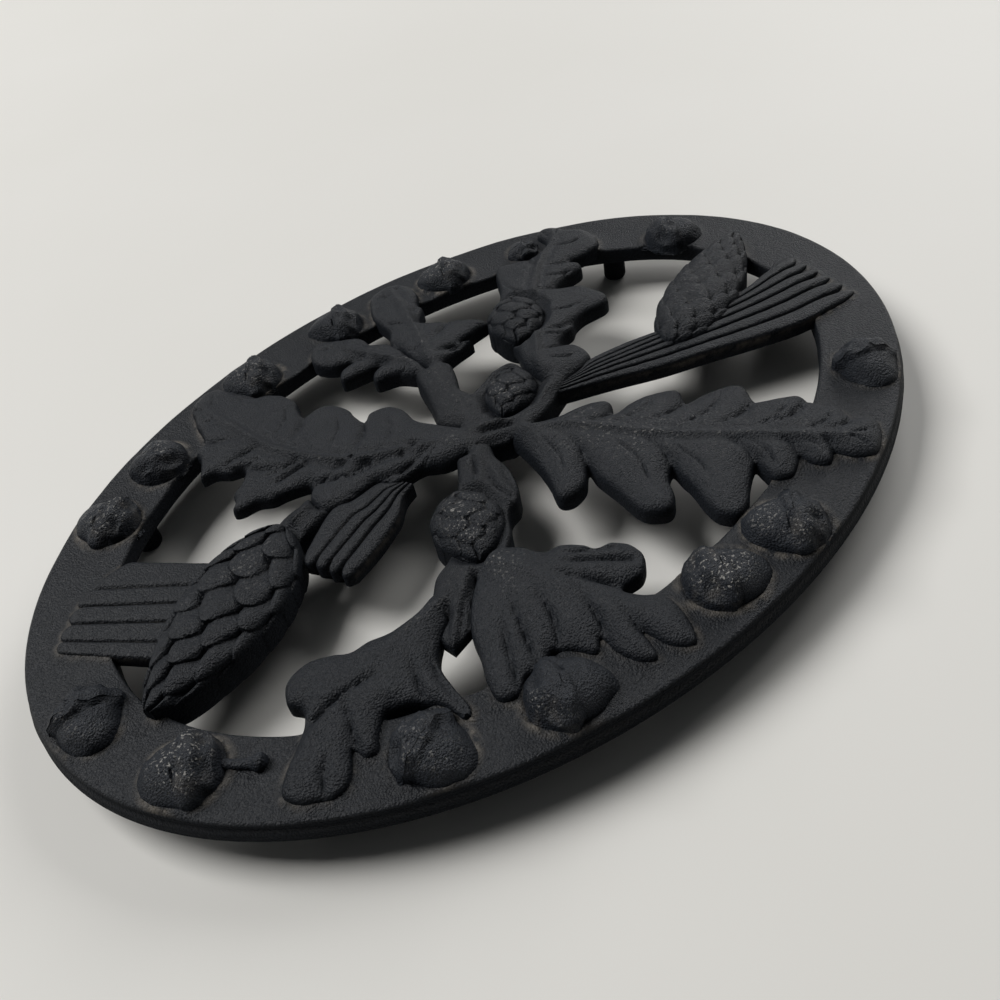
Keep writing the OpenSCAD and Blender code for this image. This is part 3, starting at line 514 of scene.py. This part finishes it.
def nearest(points, lines):
    """How far each point is from the nearest line, and how far along that line it is"""
    a = np.vstack([line[:-1] for line in lines])
    b = np.vstack([line[1:] for line in lines])
    hops = [len(line) - 1 for line in lines]
    run = np.concatenate([np.arange(k) / max(k, 1) for k in hops])
    hop = np.concatenate([np.full(k, 1 / max(k, 1)) for k in hops])
    d = b - a
    size = np.maximum((d * d).sum(1), 1e-12)
    gap, along = np.empty(len(points)), np.empty(len(points))
    batch = 2000
    for i in range(0, len(points), batch):
        p = points[i : i + batch, None, :] - a
        t = np.clip((p * d).sum(2) / size, 0, 1)
        q = p - t[..., None] * d
        dist = (q * q).sum(2)
        k = dist.argmin(1)
        rows = np.arange(len(k))
        gap[i : i + batch] = np.sqrt(dist[rows, k])
        along[i : i + batch] = run[k] + t[rows, k] * hop[k]
    return gap, along


def within(points, outline):
    """Which points lie inside an outline"""
    a, b = outline, np.roll(outline, -1, 0)
    rise = np.where(b[:, 1] == a[:, 1], 1e-12, b[:, 1] - a[:, 1])
    odd = np.zeros(len(points), bool)
    batch = 4000
    for i in range(0, len(points), batch):
        x, y = points[i : i + batch, 0:1], points[i : i + batch, 1:2]
        cross = (a[:, 1] > y) != (b[:, 1] > y)
        left = x < (b[:, 0] - a[:, 0]) * (y - a[:, 1]) / rise + a[:, 0]
        odd[i : i + batch] = ((cross & left).sum(1) % 2) == 1
    return odd


def turned_left(a, b, c):
    """Twice the area of a triangle, above nought where its corners turn left"""
    u, v = b - a, c - a
    return u[..., 0] * v[..., 1] - u[..., 1] * v[..., 0]


def plate(name, outline, height, back, open_edges):
    """A plate under a relief: a fine net of points in an outline, whose tops come from
    height and whose undersides from back, with soft upper edges and upright walls"""
    pitch, soft = 0.62, 0.9
    n = len(outline)
    low, high = outline.min(0), outline.max(0)
    xs = np.arange(low[0], high[0], pitch)
    ys = np.arange(low[1], high[1], pitch * 0.866)
    net = np.array([(x + (j % 2) * pitch / 2, y) for j, y in enumerate(ys) for x in xs])
    net = net[within(net, outline)]
    loop = np.vstack([outline, outline[:1]])
    after = np.roll(outline, -1, 0)
    area = 0.5 * (outline[:, 0] * after[:, 1] - outline[:, 1] * after[:, 0]).sum()
    hop = after - np.roll(outline, 1, 0)
    inward = np.stack([-hop[:, 1], hop[:, 0]], 1)
    inward /= np.maximum(np.linalg.norm(hop, axis=1), 1e-9)[:, None]
    rings = []
    for inset in (0.22, 0.6, 1.05):
        ring = outline + inward * inset * (1 if area > 0 else -1)
        far, _ = nearest(ring, [loop])
        rings.append(ring[(far > inset * 0.93) & within(ring, outline)])
    gap, _ = nearest(net, [loop])
    points = np.vstack([outline] + rings + [net[gap > 1.15]])
    border = [(i, (i + 1) % n) for i in range(n)]
    made = delaunay_2d_cdt([Vector(p) for p in points], border, [], 0, 1e-4)
    flat = np.array([tuple(v) for v in made[0]])
    faces = np.array([f for f in made[2] if len(f) == 3])
    faces = faces[within(flat[faces].mean(1), outline)]
    turned = turned_left(*(flat[faces[:, k]] for k in range(3)))
    faces = np.where((turned < 0)[:, None], faces[:, ::-1], faces)[np.abs(turned) > 1e-7]
    gap, _ = nearest(flat, open_edges)
    near = np.clip(gap, 0, soft)
    top = height(flat) - (soft - np.sqrt(np.maximum(soft**2 - (soft - near) ** 2, 0)))
    sides = {(f[k], f[(k + 1) % 3]): True for f in faces for k in range(3)}
    border = [side for side in sides if (side[1], side[0]) not in sides]
    border_ids = sorted({i for side in border for i in side})
    down = {v: len(flat) + k for k, v in enumerate(border_ids)}
    backs = back(flat[border_ids]) if callable(back) else np.full(len(border_ids), back)
    verts = [(*p, z) for p, z in zip(flat, top)]
    verts += [(*flat[i], z) for i, z in zip(border_ids, backs)]
    net_faces = [tuple(f) for f in faces] + [(j, i, down[i], down[j]) for i, j in border]
    under = delaunay_2d_cdt(
        [Vector(flat[i]) for i in border_ids],
        [(border_ids.index(i), border_ids.index(j)) for i, j in border],
        [], 0, 1e-5,
    )
    floor = np.array([tuple(v) for v in under[0]])
    floor_faces = np.array([f for f in under[2] if len(f) == 3])
    for f in floor_faces[within(floor[floor_faces].mean(1), outline)]:
        order = f[::-1] if turned_left(*floor[f]) > 0 else f
        net_faces.append(tuple(down[border_ids[k]] for k in order))
    return solid_piece(name, verts, net_faces)


def lobe_tips(side):
    """Middles of the runs of knots that are marked as lobes"""
    runs = [[]]
    for x, y, mark in side:
        if mark >= 0.95:
            runs[-1].append((x, y))
        elif runs[-1]:
            runs.append([])
    return [tuple(np.mean(run, 0)) for run in runs if run]


def line_from_rib(rib, end, slant, reach, bend):
    """A slightly bent line from near the midrib out to the end of a lobe or a bay"""
    chord, out = rib[-1] - rib[0], end - rib[0]
    length = np.linalg.norm(chord)
    along = out @ chord / length
    off = abs(chord[0] * out[1] - chord[1] * out[0]) / length
    foot = np.clip((along - slant * off) / length, 0.03, 0.95)
    start = rib[int(foot * (len(rib) - 1))]
    bow = np.array([-(end - start)[1], (end - start)[0]]) * bend
    return smooth_line([end * r + start * (1 - r) + bow * (k == 1) for k, r in enumerate(reach)])


ridges, free_edges, outlines = {}, {}, {}
for name, leaf in LEAVES.items():
    rib = smooth_line(placed(leaf["rib"]))
    outlines[name] = smooth_line(np.vstack([placed(leaf["left"]), placed(leaf["right"])[::-1]]))
    free_edges[name] = [outlines[name]]
    veins, bays = [], []
    bends = ((leaf["left"], 0.08), (leaf["right"], -0.08))
    for side, bend in () if "furrows" in leaf else bends:
        for lobe in placed(lobe_tips(side)):
            veins.append(line_from_rib(rib, lobe, 0.7, (0.12, 0.5, 0.84), bend))
        for bay in placed([knot for knot in side[1:] if knot[2] == 0]):
            reach = (0.3 - 0.15 * leaf["cleft"], 0.6, 1.0)
            bays.append(line_from_rib(rib, bay, 0.9, reach, bend))
    bays += [smooth_line(placed(f)) for f in leaf.get("furrows", []) + leaf.get("creases", [])]
    ridges[name] = dict(
        line=rib, crown=leaf["crown"], tip=0.65, rib=leaf["raised"], puff=leaf["puff"],
        cleft=leaf["cleft"], veins=veins, bays=bays,
    )
for name, twig in TWIGS.items():
    left, right = placed(twig["left"]), placed(twig["right"])
    free_edges[name], sides = [], []
    for side, runs in ((left, [twig["free_left"]]), (right, twig["free_right"])):
        done, at = [], 0
        for a, b in runs:
            free_edges[name].append(smooth_line(side[a:b]) if b - a > 2 else side[a:b])
            done += [side[at:a], free_edges[name][-1]]
            at = b
        sides.append(np.vstack(done + [side[at:]]))
    outlines[name] = np.vstack([sides[0], sides[1][::-1]])
    if "free_end" in twig:
        a, b, c = twig["free_end"]
        free_edges[name].append(np.array([left[a], left[b], right[c]]))
    ridges[name] = dict(
        line=smooth_line(placed(twig["rib"])), crown=2.9, tip=0.9, rib=twig.get("raised", 0.5),
        puff=3.6, cleft=1.2, veins=[],
        bays=[smooth_line(placed(f)) for f in twig.get("furrows", [])],
    )
for name, loop in outlines.items():
    spaced = []
    for a, b in zip(loop, np.roll(loop, -1, 0)):
        steps = max(1, int(np.linalg.norm(b - a) / 0.7))
        spaced += [a + (b - a) * t for t in np.arange(steps) / steps]
    outlines[name] = np.vstack(spaced)


def boxes_meet(a, b, margin=0.0):
    """Whether the boxes round two sets of points come within a margin of each other"""
    return (a.min(0) < b.max(0) + margin).all() and (a.max(0) > b.min(0) - margin).all()


def wreath_height(name):
    """Height over the wreath: every midrib near by lifts it, and every free edge lowers it.
    The piece's own midrib, clefts and veins are cut in, and a hollow lies round each cone"""
    rib_width, cleft_width, vein_width, vein_depth, hollow = 0.8, 0.85, 0.36, 0.65, 3.0
    near = [other for other in ridges if boxes_meet(outlines[other], outlines[name], 14)]
    own = ridges[name]

    def height(points):
        free, _ = nearest(points, [line for other in near for line in free_edges[other]])
        total, weight = np.zeros(len(points)), np.zeros(len(points))
        for other in near:
            ridge = ridges[other]
            away, along = nearest(points, [ridge["line"]])
            share = 1 / (away + 0.6) ** 4
            crown = ridge["crown"] * (1 + (ridge["tip"] - 1) * along)
            round_off = np.sqrt(1 - (1 - np.clip(free / ridge["puff"], 0, 1)) ** 2)
            slope = 1 - 0.42 * (away / (away + free + 1e-6)) ** 1.6
            total += share * crown * round_off * slope
            weight += share
            if other == name:
                mine_away, mine_along = away, along
        rise = total / weight
        fade = np.clip((1.02 - mine_along) * 4, 0, 1) * np.clip(mine_along * 9, 0, 1)
        rise += own["rib"] * fade * np.exp(-((mine_away / rib_width) ** 2))
        rise -= own["rib"] * fade * np.exp(-(((mine_away - 2.2) / 1.2) ** 2))
        if own["bays"]:
            side, along = nearest(points, own["bays"])
            deep = own["cleft"] * np.clip(along * 4, 0, 1)
            deep *= np.minimum(0.45 + 1.4 * along, 0.55 * rise)
            rise -= deep * np.exp(-((side / cleft_width) ** 1.15))
        if own["veins"]:
            side, along = nearest(points, own["veins"])
            ends = np.clip(along * 4, 0, 1) * np.clip((1 - along) * 4, 0, 1)
            rise -= vein_depth * ends * np.exp(-((side / vein_width) ** 2))
        skin = np.column_stack([points, rise])
        rise += 0.22 * rough(skin, 5.5) + 0.1 * rough(skin, 1.9, 4.2)
        around = np.full(len(points), 9.0)
        for ring in cone_outlines:
            if boxes_meet(ring, points):
                apart, _ = nearest(points, [ring])
                around = np.minimum(around, np.where(within(points, ring[:-1]), 0, apart))
        rise *= np.clip(0.12 + around / hollow, 0, 1)
        return RIM_TOP + LEAF_EDGE + rise

    return height


def thin_wedge(points):
    """The front twig's back, which rises where the twig fills the wedge between two leaves"""
    return WEB_BACK + 3.6 * np.clip((-37 - points[:, 1]) / 8, 0, 1)


leaf_iron = coated_iron("leaf_iron", shade=1.15, grit=1.0, crown=18.2, glint=1.0)
twig_iron = coated_iron("twig_iron", shade=0.95, grit=1.1, crown=17.5, glint=0.7)
for name in outlines:
    if name in LEAVES:
        iron, back = leaf_iron, LEAVES[name].get("back", LEAF_BACK)
    else:
        iron, back = twig_iron, thin_wedge if name == "twig_front" else WEB_BACK
    piece = plate(name + "_relief", outlines[name], wreath_height(name), back, free_edges[name])
    piece.data.materials.append(iron)
    standing.append(np.vstack([outlines[name], outlines[name][:1]]))
    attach(piece, "root")
    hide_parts(name)

# ---------------------------------------------------------------------------
# Needle bundles
# Bundles of pine needles cast as one ribbed plate. The needles lie side by side with a
# narrow groove between them, and each ends in its own round tip.


def cone_side(name, s, way):
    """A point on one side of a cone, s of the way along it"""
    start, end = placed(CONES[name]["ends"])
    axis = end - start
    side = np.array([-axis[1], axis[0]]) / np.linalg.norm(axis)
    return start + axis * s + way * side * CONES[name]["half"] * egg_shape(s)


def along_line(line, t):
    """A point on a smooth line, where t runs from nought to one"""
    reach = t * (len(line) - 1)
    i = min(int(reach), len(line) - 2)
    return line[i] + (line[i + 1] - line[i]) * (reach - i)


def fan(near, far, count):
    """The lines between the needles of a bundle, from one edge line to the other"""
    steps = np.linspace(0, 1, 60)
    near, far = smooth_line(near), smooth_line(far)
    a = np.array([along_line(near, t) for t in steps])
    b = np.array([along_line(far, t) for t in steps])
    lines = []
    for k in range(count + 1):
        line = a + (b - a) * k / count
        straight = line[0] + (line[-1] - line[0]) * steps[:, None]
        calm = 2.4 * k * (count - k) / count**2
        lines.append(line * (1 - calm) + straight * calm)
    return lines


def needle_bundle(name, lines, height, groove, tips, seed, sharp):
    """A ribbed plate between two edge lines. Needle tips are staggered, and round"""
    count = len(lines) - 1
    across, rows = count * 14, 90
    verts, low = [], []
    for i in range(rows + 1):
        t0 = i / rows
        for k in range(across + 1):
            share = k / across
            u = (share * count) % 1 if k < across else 1.0
            j = min(int(share * count), count - 1)
            stagger = tips * (0.35 + 0.65 * abs(math.sin(seed + 2.3 * j)))
            middle = 2 * u - 1
            t = t0 * (1 - stagger) + t0**5 * (stagger - stagger * (0.9 * abs(middle) ** 2.2))
            p = along_line(lines[j], t) * (1 - u) + along_line(lines[j + 1], t) * u
            rib = max(1 - abs(middle) ** sharp, 0) ** 0.5
            arch = 1 - 0.3 * (2 * share - 1) ** 2
            end = min(1.0, (1 - t0) * 14) ** 0.5
            z = (height - groove * (1 - rib)) * arch * (0.35 + 0.65 * end)
            verts.append((p[0], p[1], RIM_TOP + z))
            low.append(0.7 * (1 - rib))
    n = across + 1
    verts = np.array(verts)
    verts[:, 2] += 0.1 * rough(verts, 3.2, seed) + 0.05 * rough(verts, 1.1, seed)
    edge = [i * n for i in range(rows + 1)] + [rows * n + k for k in range(1, n - 1)]
    edge += [i * n + n - 1 for i in range(rows, -1, -1)] + list(range(n - 2, 0, -1))
    base, m = len(verts), len(edge)
    lower = verts[edge].copy()
    lower[:, 2] = LEAF_BACK
    faces = [(a, a + 1, a + n + 1, a + n) for i in range(rows) for a in range(i * n, i * n + n - 1)]
    faces += [(edge[k], edge[(k + 1) % m], base + (k + 1) % m, base + k) for k in range(m)]
    # The back runs from edge to edge in strips, as the top does
    back_at = {v: base + k for k, v in enumerate(edge)}
    left, right = ([back_at[i * n + k] for i in range(rows + 1)] for k in (0, n - 1))
    faces += [(left[i], left[i + 1], right[i + 1], right[i]) for i in range(1, rows - 1)]
    for row, strip in ((0, 1), (rows, rows - 1)):
        end = [back_at[row * n + k] for k in range(n)]
        faces += [(end[k], end[k + 1], left[strip]) for k in range(n - 1)]
        faces += [(left[strip], end[-1], right[strip])]
    verts = np.vstack([verts, lower])
    standing.append(np.vstack([lower[:, :2], lower[:1, :2]]))
    return faced_out(solid_piece(name + "_relief", verts, faces, low + [0.0] * m, sharp=62))


roots = [cone_side("pine_cone_left", s, -1) for s in (0.76, 0.68, 0.58, 0.48, 0.38, 0.24)]
ends = placed([(-91, 21.5), (-89.8, 25), (-87, 29), (-84, 33.2), (-80.5, 37), (-71, 38.5)])
BUNDLES = {
    "needles_right": dict(
        lines=fan(
            placed([
                (19, -3), (30, -10.5), (40, -18), (50, -24), (60, -30.5), (70, -36), (80, -38.5),
                (86.5, -40),
            ]),
            placed([
                (24, 0), (28, 0.5), (32, 2), (42, -1), (56, -8), (70, -10.5), (80, -9.5),
                (90, -8.5),
            ]),
            6,
        ),
        height=2.9, groove=1.8, tips=0.10, seed=1.0, sharp=4.0,
    ),
    "needles_inner": dict(
        lines=fan(
            placed([(-19, -1), (-22.5, -3), (-26, -7.5), (-30, -10.5), (-35, -13.5), (-42, -16.5)]),
            np.vstack([
                placed([(-21, 3), (-22.6, 6), (-24, 8.2), (-30, 8), (-35, 9.3)]),
                [cone_side("pine_cone_left", 0.15, 1)],
            ]),
            4,
        ),
        height=2.6, groove=1.6, tips=0.07, seed=2.0, sharp=3.4,
    ),
    "needles_left": dict(
        lines=[
            np.array([a + (b - a) * t for t in np.linspace(0, 1, 30)]) for a, b in zip(roots, ends)
        ],
        height=1.7, groove=1.2, tips=0.07, seed=3.0, sharp=7.0,
    ),
}
needle_iron = coated_iron("needle_iron", shade=0.95, grit=0.8)
for name, bundle in BUNDLES.items():
    piece = needle_bundle(name, **bundle)
    piece.data.materials.append(needle_iron)
    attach(piece, "root")
    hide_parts(name)

# ---------------------------------------------------------------------------
# Acorns
# Fourteen acorns that lie half sunk in the band, each a rough cup with a rolled lip
# round a smooth nut. One pattern is set down at each place and turned its own way, and
# a short stem lies beside the one at the front left.

ACORNS = {  # place, turn in degrees and size
    "acorn_left_1": (-53, 70, 60, 1.2), "acorn_left_2": (-69, 57, 115, 1.2),
    "acorn_left_3": (-92.3, -4.5, -100, 1.2), "acorn_left_4": (-84, -36.5, 147, 1.25),
    "acorn_front_1": (-53, -72.5, -70, 1.25), "acorn_front_2": (-31, -83.5, -19, 1.3),
    "acorn_front_3": (4, -86.5, -25, 1.3), "acorn_front_4": (21.5, -87, 140, 1.3),
    "acorn_right_1": (67.2, -62, -117, 1.2), "acorn_right_2": (80.5, 33, -28, 1.22),
    "acorn_back_1": (-23, 84, 146, 1.2), "acorn_back_2": (2.5, 86.5, 146, 1.15),
    "acorn_back_3": (33, 80, 152, 1.15), "acorn_back_4": (53, 69.5, 70, 0.75),
}


def acorn_pattern():
    """One acorn along the x axis, cut flat a little under the top of the band"""
    cup_end, sunk, turns = 0.9, 1.8, 56
    cup = [math.radians(a) for a in range(16, 90, 6)]
    nut = [math.radians(a) for a in range(13, 88, 5)]
    profile = [(-8.2, 0.0), (-8.2, 1.3), (-7.5, 1.7)]
    profile += [(-7.0 * math.cos(a), 7.4 * math.sin(a)) for a in cup]
    profile += [(-0.4, 7.35), (0.3, 7.1), (0.8, 6.75), (1.2, 6.5)]
    profile += [(8.6 * math.sin(a), 0.7 + 5.75 * math.cos(a)) for a in nut]
    profile += [(8.7, 0.7), (9.0, 0.3), (9.05, 0.0)]
    verts, low = [], []
    for x, r in profile:
        for k in range(turns):
            a = 2 * math.pi * k / turns
            y, z = r * math.cos(a), r * math.sin(a)
            clear = min(max((z - 1.0) / 2.2, 0), 1)
            if x < cup_end and r > 2:
                cells, _ = noise.voronoi(Vector((x / 3.1, y / 3.1, z / 3.1)))
                fold = 0.25 - abs(noise.noise(Vector((x, y, z)) / 3.6))
                swell = 0.7 * (0.45 - min(cells[0], 0.8)) + 1.9 * fold
                low.append(min(max(cells[0] * 1.2, 0), 1) * 0.5)
            else:
                swell = 0.35 * noise.noise(Vector((x + 9, y, z)) / 4.5)
                low.append(0.25 if 0.1 < x < 1.0 else 0.0)
            grow = 1 + swell * clear / max(r, 1.5)
            lip = 0.5 * math.exp(-(((x - 0.2) / 1.6) ** 2))
            lip *= noise.noise(Vector((y / 3.2, z / 3.2, 5.0)))
            verts.append((x + lip, y * grow, z * grow))
    verts = np.array(verts)
    verts[:, 2] = np.maximum(verts[:, 2] - sunk, -0.6)
    faces = [
        (i + k, i + turns + k, i + turns + (k + 1) % turns, i + (k + 1) % turns)
        for i in range(0, (len(profile) - 1) * turns, turns) for k in range(turns)
    ]
    return faced_out(solid_piece("acorn_pattern", verts, faces, low), merge=0.02 * MM)


def acorn_tree():
    """Sets a pattern down at each place, turned and sized, and works its skin a little"""
    tree = bpy.data.node_groups.new("acorns_on_the_band", "GeometryNodeTree")
    for label, way, kind in (
        ("Places", "INPUT", "Geometry"), ("Acorns", "OUTPUT", "Geometry"),
        ("Acorn", "INPUT", "Object"), ("Unevenness", "INPUT", "Float"),
        ("Lump Size", "INPUT", "Float"), ("Coating", "INPUT", "Material"),
    ):
        tree.interface.new_socket(label, in_out=way, socket_type="NodeSocket" + kind)
    given = tree.nodes.new("NodeGroupInput").outputs
    places, acorn, uneven, lumps, coat = (
        Wire(tree, given[k]) for k in ("Places", "Acorn", "Unevenness", "Lump Size", "Coating")
    )
    w = Wire(tree)
    turn = w.make("GeometryNodeInputNamedAttribute", {"Name": "turn"}, data_type="FLOAT")
    size = w.make("GeometryNodeInputNamedAttribute", {"Name": "size"}, data_type="FLOAT")
    set_down = w.make(
        "GeometryNodeInstanceOnPoints",
        {
            "Points": places,
            "Instance": w.make("GeometryNodeObjectInfo", {"Object": acorn}, out=4),
            "Rotation": w.make("ShaderNodeCombineXYZ", {"Z": turn}),
            "Scale": w.make("ShaderNodeCombineXYZ", {"X": size, "Y": size, "Z": size}),
        },
    )
    real = w.make("GeometryNodeRealizeInstances", {"Geometry": set_down})
    where = w.make("GeometryNodeInputPosition")
    cloud = w.make("ShaderNodeTexNoise", {"Vector": where, "Scale": 1 / lumps, "Detail": 2.0})
    normal = w.make("GeometryNodeInputNormal")
    push = {0: normal, "Scale": (cloud - 0.5) * uneven}
    shift = w.make("ShaderNodeVectorMath", push, operation="SCALE")
    worked = w.make("GeometryNodeSetPosition", {"Geometry": real, "Offset": shift})
    coated = w.make("GeometryNodeSetMaterial", {"Geometry": worked, "Material": coat})
    w.make("NodeGroupOutput", {"Acorns": coated})
    return tree


# The acorns' iron is coloured lighter than the rest: painted highlight for the light their round
# tops catch
acorn_iron = coated_iron("acorn_iron", shade=1.6, grit=1.2, crown=17.0, glint=1.0)
pattern = acorn_pattern()
middles = placed(ACORNS.values())
turns = [math.radians(acorn[2]) for acorn in ACORNS.values()]
sizes = [acorn[3] for acorn in ACORNS.values()]
dots = bpy.data.meshes.new("acorns")
dots.from_pydata([(x * MM, y * MM, RIM_TOP * MM) for x, y in middles], [], [])
dots.attributes.new("turn", "FLOAT", "POINT").data.foreach_set("value", turns)
dots.attributes.new("size", "FLOAT", "POINT").data.foreach_set("value", sizes)
acorns = in_scene("acorns", dots)
setter = acorns.modifiers.new("acorns", "NODES")
setter.node_group = acorn_tree()
chosen = {
    "Acorn": pattern, "Unevenness": 2.2 * MM, "Lump Size": 7.0 * MM, "Coating": acorn_iron
}
for item in setter.node_group.interface.items_tree:
    if item.name in chosen:
        setter[item.identifier] = chosen[item.name]
bpy.context.view_layer.update()
seen = acorns.evaluated_get(bpy.context.evaluated_depsgraph_get())
done = bpy.data.meshes.new_from_object(seen)
acorns.modifiers.clear()
acorns.data = done
for point in done.vertices:
    point.co.z = min(point.co.z, HIGHEST * MM)
bpy.data.objects.remove(pattern)
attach(acorns, "root")
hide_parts(*ACORNS)

around = np.linspace(0, 2 * math.pi, 40)
ring_x, ring_y = 7.7 * np.cos(around) + 0.2, 6.8 * np.sin(around)
for middle, turn, size in zip(middles, turns, sizes):
    c, s = math.cos(turn), math.sin(turn)
    turned = np.stack([ring_x * c - ring_y * s, ring_x * s + ring_y * c], 1)
    standing.append(middle + size * turned)

path = smooth_line([(-98.5, -36.5), (-95.6, -39.2), (-93.0, -41.4), (-91.6, -42.8)], 0.5)
sides = 14
verts, faces = [], []
for i, (x, y) in enumerate(path):
    t = i / (len(path) - 1)
    wide = 1.25 + 0.9 * math.exp(-(((t - 0.85) / 0.16) ** 2))
    wide *= 1 - 0.9 * max(t - 0.93, 0) / 0.07
    run = path[min(i + 1, len(path) - 1)] - path[max(i - 1, 0)]
    run /= np.linalg.norm(run)
    for k in range(sides):
        a = 2 * math.pi * k / sides
        out, up = wide * math.cos(a), 1.15 * wide * math.sin(a)
        verts.append((x - run[1] * out, y + run[0] * out, RIM_TOP + 0.3 + up))
        if i:
            b, c = (i - 1) * sides + k, (i - 1) * sides + (k + 1) % sides
            faces.append((b, c, c + sides, b + sides))
faces += [tuple(range(sides))[::-1], tuple(range(len(verts) - sides, len(verts)))]
verts = np.array(verts)
verts[:, 2] = np.maximum(verts[:, 2] + 0.25 * rough(verts, 1.8), RIM_TOP - 0.5)
stem = solid_piece("acorn_stem", verts, faces)
stem.data.materials.append(acorn_iron)
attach(stem, "root")

# ---------------------------------------------------------------------------
# Rim
# The oval band that holds the casting together, 250 by 177 mm over its top and 20 mm
# wide. Its outer wall flares out below, all its edges are cast soft, and the metal of
# its top climbs a little against everything that stands on it.

RIM_WIDTH, RIM_BACK, RIM_FLARE = 20.0, 9.5, 1.0
TOP_EDGE, LOW_EDGE = 0.9, 0.5


def oval_ring(turns, inset):
    """Points on the oval at some turns, moved in square to its edge"""
    c, s = np.cos(turns), np.sin(turns)
    out = np.stack([HALF_WIDTH * c, HALF_LENGTH * s], 1)
    out /= np.linalg.norm(out, axis=1)[:, None]
    return np.stack([HALF_LENGTH * c, HALF_WIDTH * s], 1) - inset * out


turns = np.linspace(0, 2 * math.pi, 900, endpoint=False)
quarter = [(math.cos(a), math.sin(a)) for a in (k * math.pi / 8 for k in range(5))]
path = [(TOP_EDGE - TOP_EDGE * s, RIM_TOP - TOP_EDGE + TOP_EDGE * c) for c, s in quarter]
path += [(-0.02, RIM_TOP - 1.5), (-0.1, RIM_TOP - 2.0), (-0.55, RIM_TOP - 2.6)]
path += [(-RIM_FLARE, RIM_TOP - 3.2)]
path += [
    (LOW_EDGE - RIM_FLARE - LOW_EDGE * c, RIM_BACK + LOW_EDGE - LOW_EDGE * s) for c, s in quarter
]
path += [(inset, RIM_BACK) for inset in (4, 10, 16)]
path += [
    (RIM_WIDTH - LOW_EDGE + LOW_EDGE * s, RIM_BACK + LOW_EDGE - LOW_EDGE * c) for c, s in quarter
]
path += [(RIM_WIDTH, RIM_TOP - 2.5)]
path += [
    (RIM_WIDTH - TOP_EDGE + TOP_EDGE * c, RIM_TOP - TOP_EDGE + TOP_EDGE * s) for c, s in quarter
]
path += [(inset, RIM_TOP) for inset in np.arange(RIM_WIDTH - 1.6, TOP_EDGE + 0.3, -0.75)]
verts = np.vstack([np.column_stack([oval_ring(turns, i), np.full(len(turns), z)]) for i, z in path])
top = verts[:, 2] > RIM_TOP - 0.3
deep = np.zeros(len(verts))
gap, _ = nearest(verts[top, :2], standing)
deep[top] = np.exp(-gap / 1.3)
verts[top, 2] += 0.75 * np.exp(-gap / 0.9)
sway = 0.16 * rough(verts, 15.0) + 0.05 * rough(verts, 4.0, 3.1)
dents = 0.0012 * (1 + rough(verts, 5.0, 7.7))
verts[:, 2] += np.where(top, sway, 0.0)
wall = (verts[:, 2] < RIM_TOP - 1.2) & (verts[:, 2] > RIM_BACK + 0.4)
verts[:, :2] *= (1 - np.where(wall, dents, 0.0))[:, None]
n, faces = len(turns), []
for row in range(len(path)):
    here, there = row * n, (row + 1) % len(path) * n
    faces += [(here + i, there + i, there + (i + 1) % n, here + (i + 1) % n) for i in range(n)]
rim = solid_piece("rim_band", verts, faces, deep)
rim.data.materials.append(coated_iron("rim_iron", shade=0.9, grit=0.8))
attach(rim, "root")
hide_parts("rim")

# ---------------------------------------------------------------------------
# Table, light and camera
# A plain pale table, a broad soft box high behind the trivet on its left and a weaker
# one on its right, a little light from all round, and the photographer's camera.

table_mesh = bpy.data.meshes.new("table")
table_mesh.from_pydata([(-3, -3, 0), (3, -3, 0), (3, 3, 0), (-3, 3, 0)], [], [(0, 1, 2, 3)])
table = in_scene("table", table_mesh)
table_top = bpy.data.materials.new("table_top")
table_top.use_nodes = True
w = Wire(table_top.node_tree)
place = w.make("ShaderNodeTexCoord", out=3)
cloudy = w.make("ShaderNodeTexNoise", {"Vector": place, "Scale": 6.0, "Detail": 3.0})
shader = table_top.node_tree.nodes["Principled BSDF"].inputs
w.plug(shader["Base Color"], w.tint(cloudy, (0.72, 0.705, 0.66, 1), (0.765, 0.75, 0.715, 1)))
w.plug(shader["Roughness"], 0.6)
w.plug(shader["Specular IOR Level"], 0.3)
table_mesh.materials.append(table_top)

world = bpy.data.worlds.new("room")
bpy.context.scene.world = world
world.use_nodes = True
background = world.node_tree.nodes["Background"].inputs
background["Color"].default_value = (0.93, 0.97, 1.0, 1)
background["Strength"].default_value = 0.05


def soft_light(name, toward, distance, size, power):
    """A square soft box that looks at the trivet from one side"""
    lamp = bpy.data.lights.new(name, "AREA")
    lamp.shape, lamp.size, lamp.energy = "SQUARE", size, power
    box = in_scene(name, lamp)
    box.location = Vector(toward).normalized() * distance
    box.rotation_euler = (-box.location).to_track_quat("-Z", "Y").to_euler()


soft_light("window", toward=(-0.35, 0.52, 0.78), distance=3.2, size=1.7, power=90.0)
soft_light("far_window", toward=(0.85, 0.3, 0.55), distance=2.8, size=1.8, power=40.0)

camera = in_scene("camera", bpy.data.cameras.new("camera"))
camera.data.lens = camera.data.sensor_width = 36
camera.data.clip_start = 0.01
right = Vector((0.76029306, -0.63017234, -0.15759848))
down = Vector((-0.53345, -0.4672767, -0.70504155))
ahead = Vector((0.37065559, 0.62010911, -0.69143266))
turned = Matrix((right, -down, -ahead)).transposed().to_4x4()
camera.matrix_world = Matrix.Translation((-0.102387, -0.172084, 0.183749)) @ turned
bpy.context.scene.camera = camera
bpy.context.scene.view_settings.view_transform = "Standard"
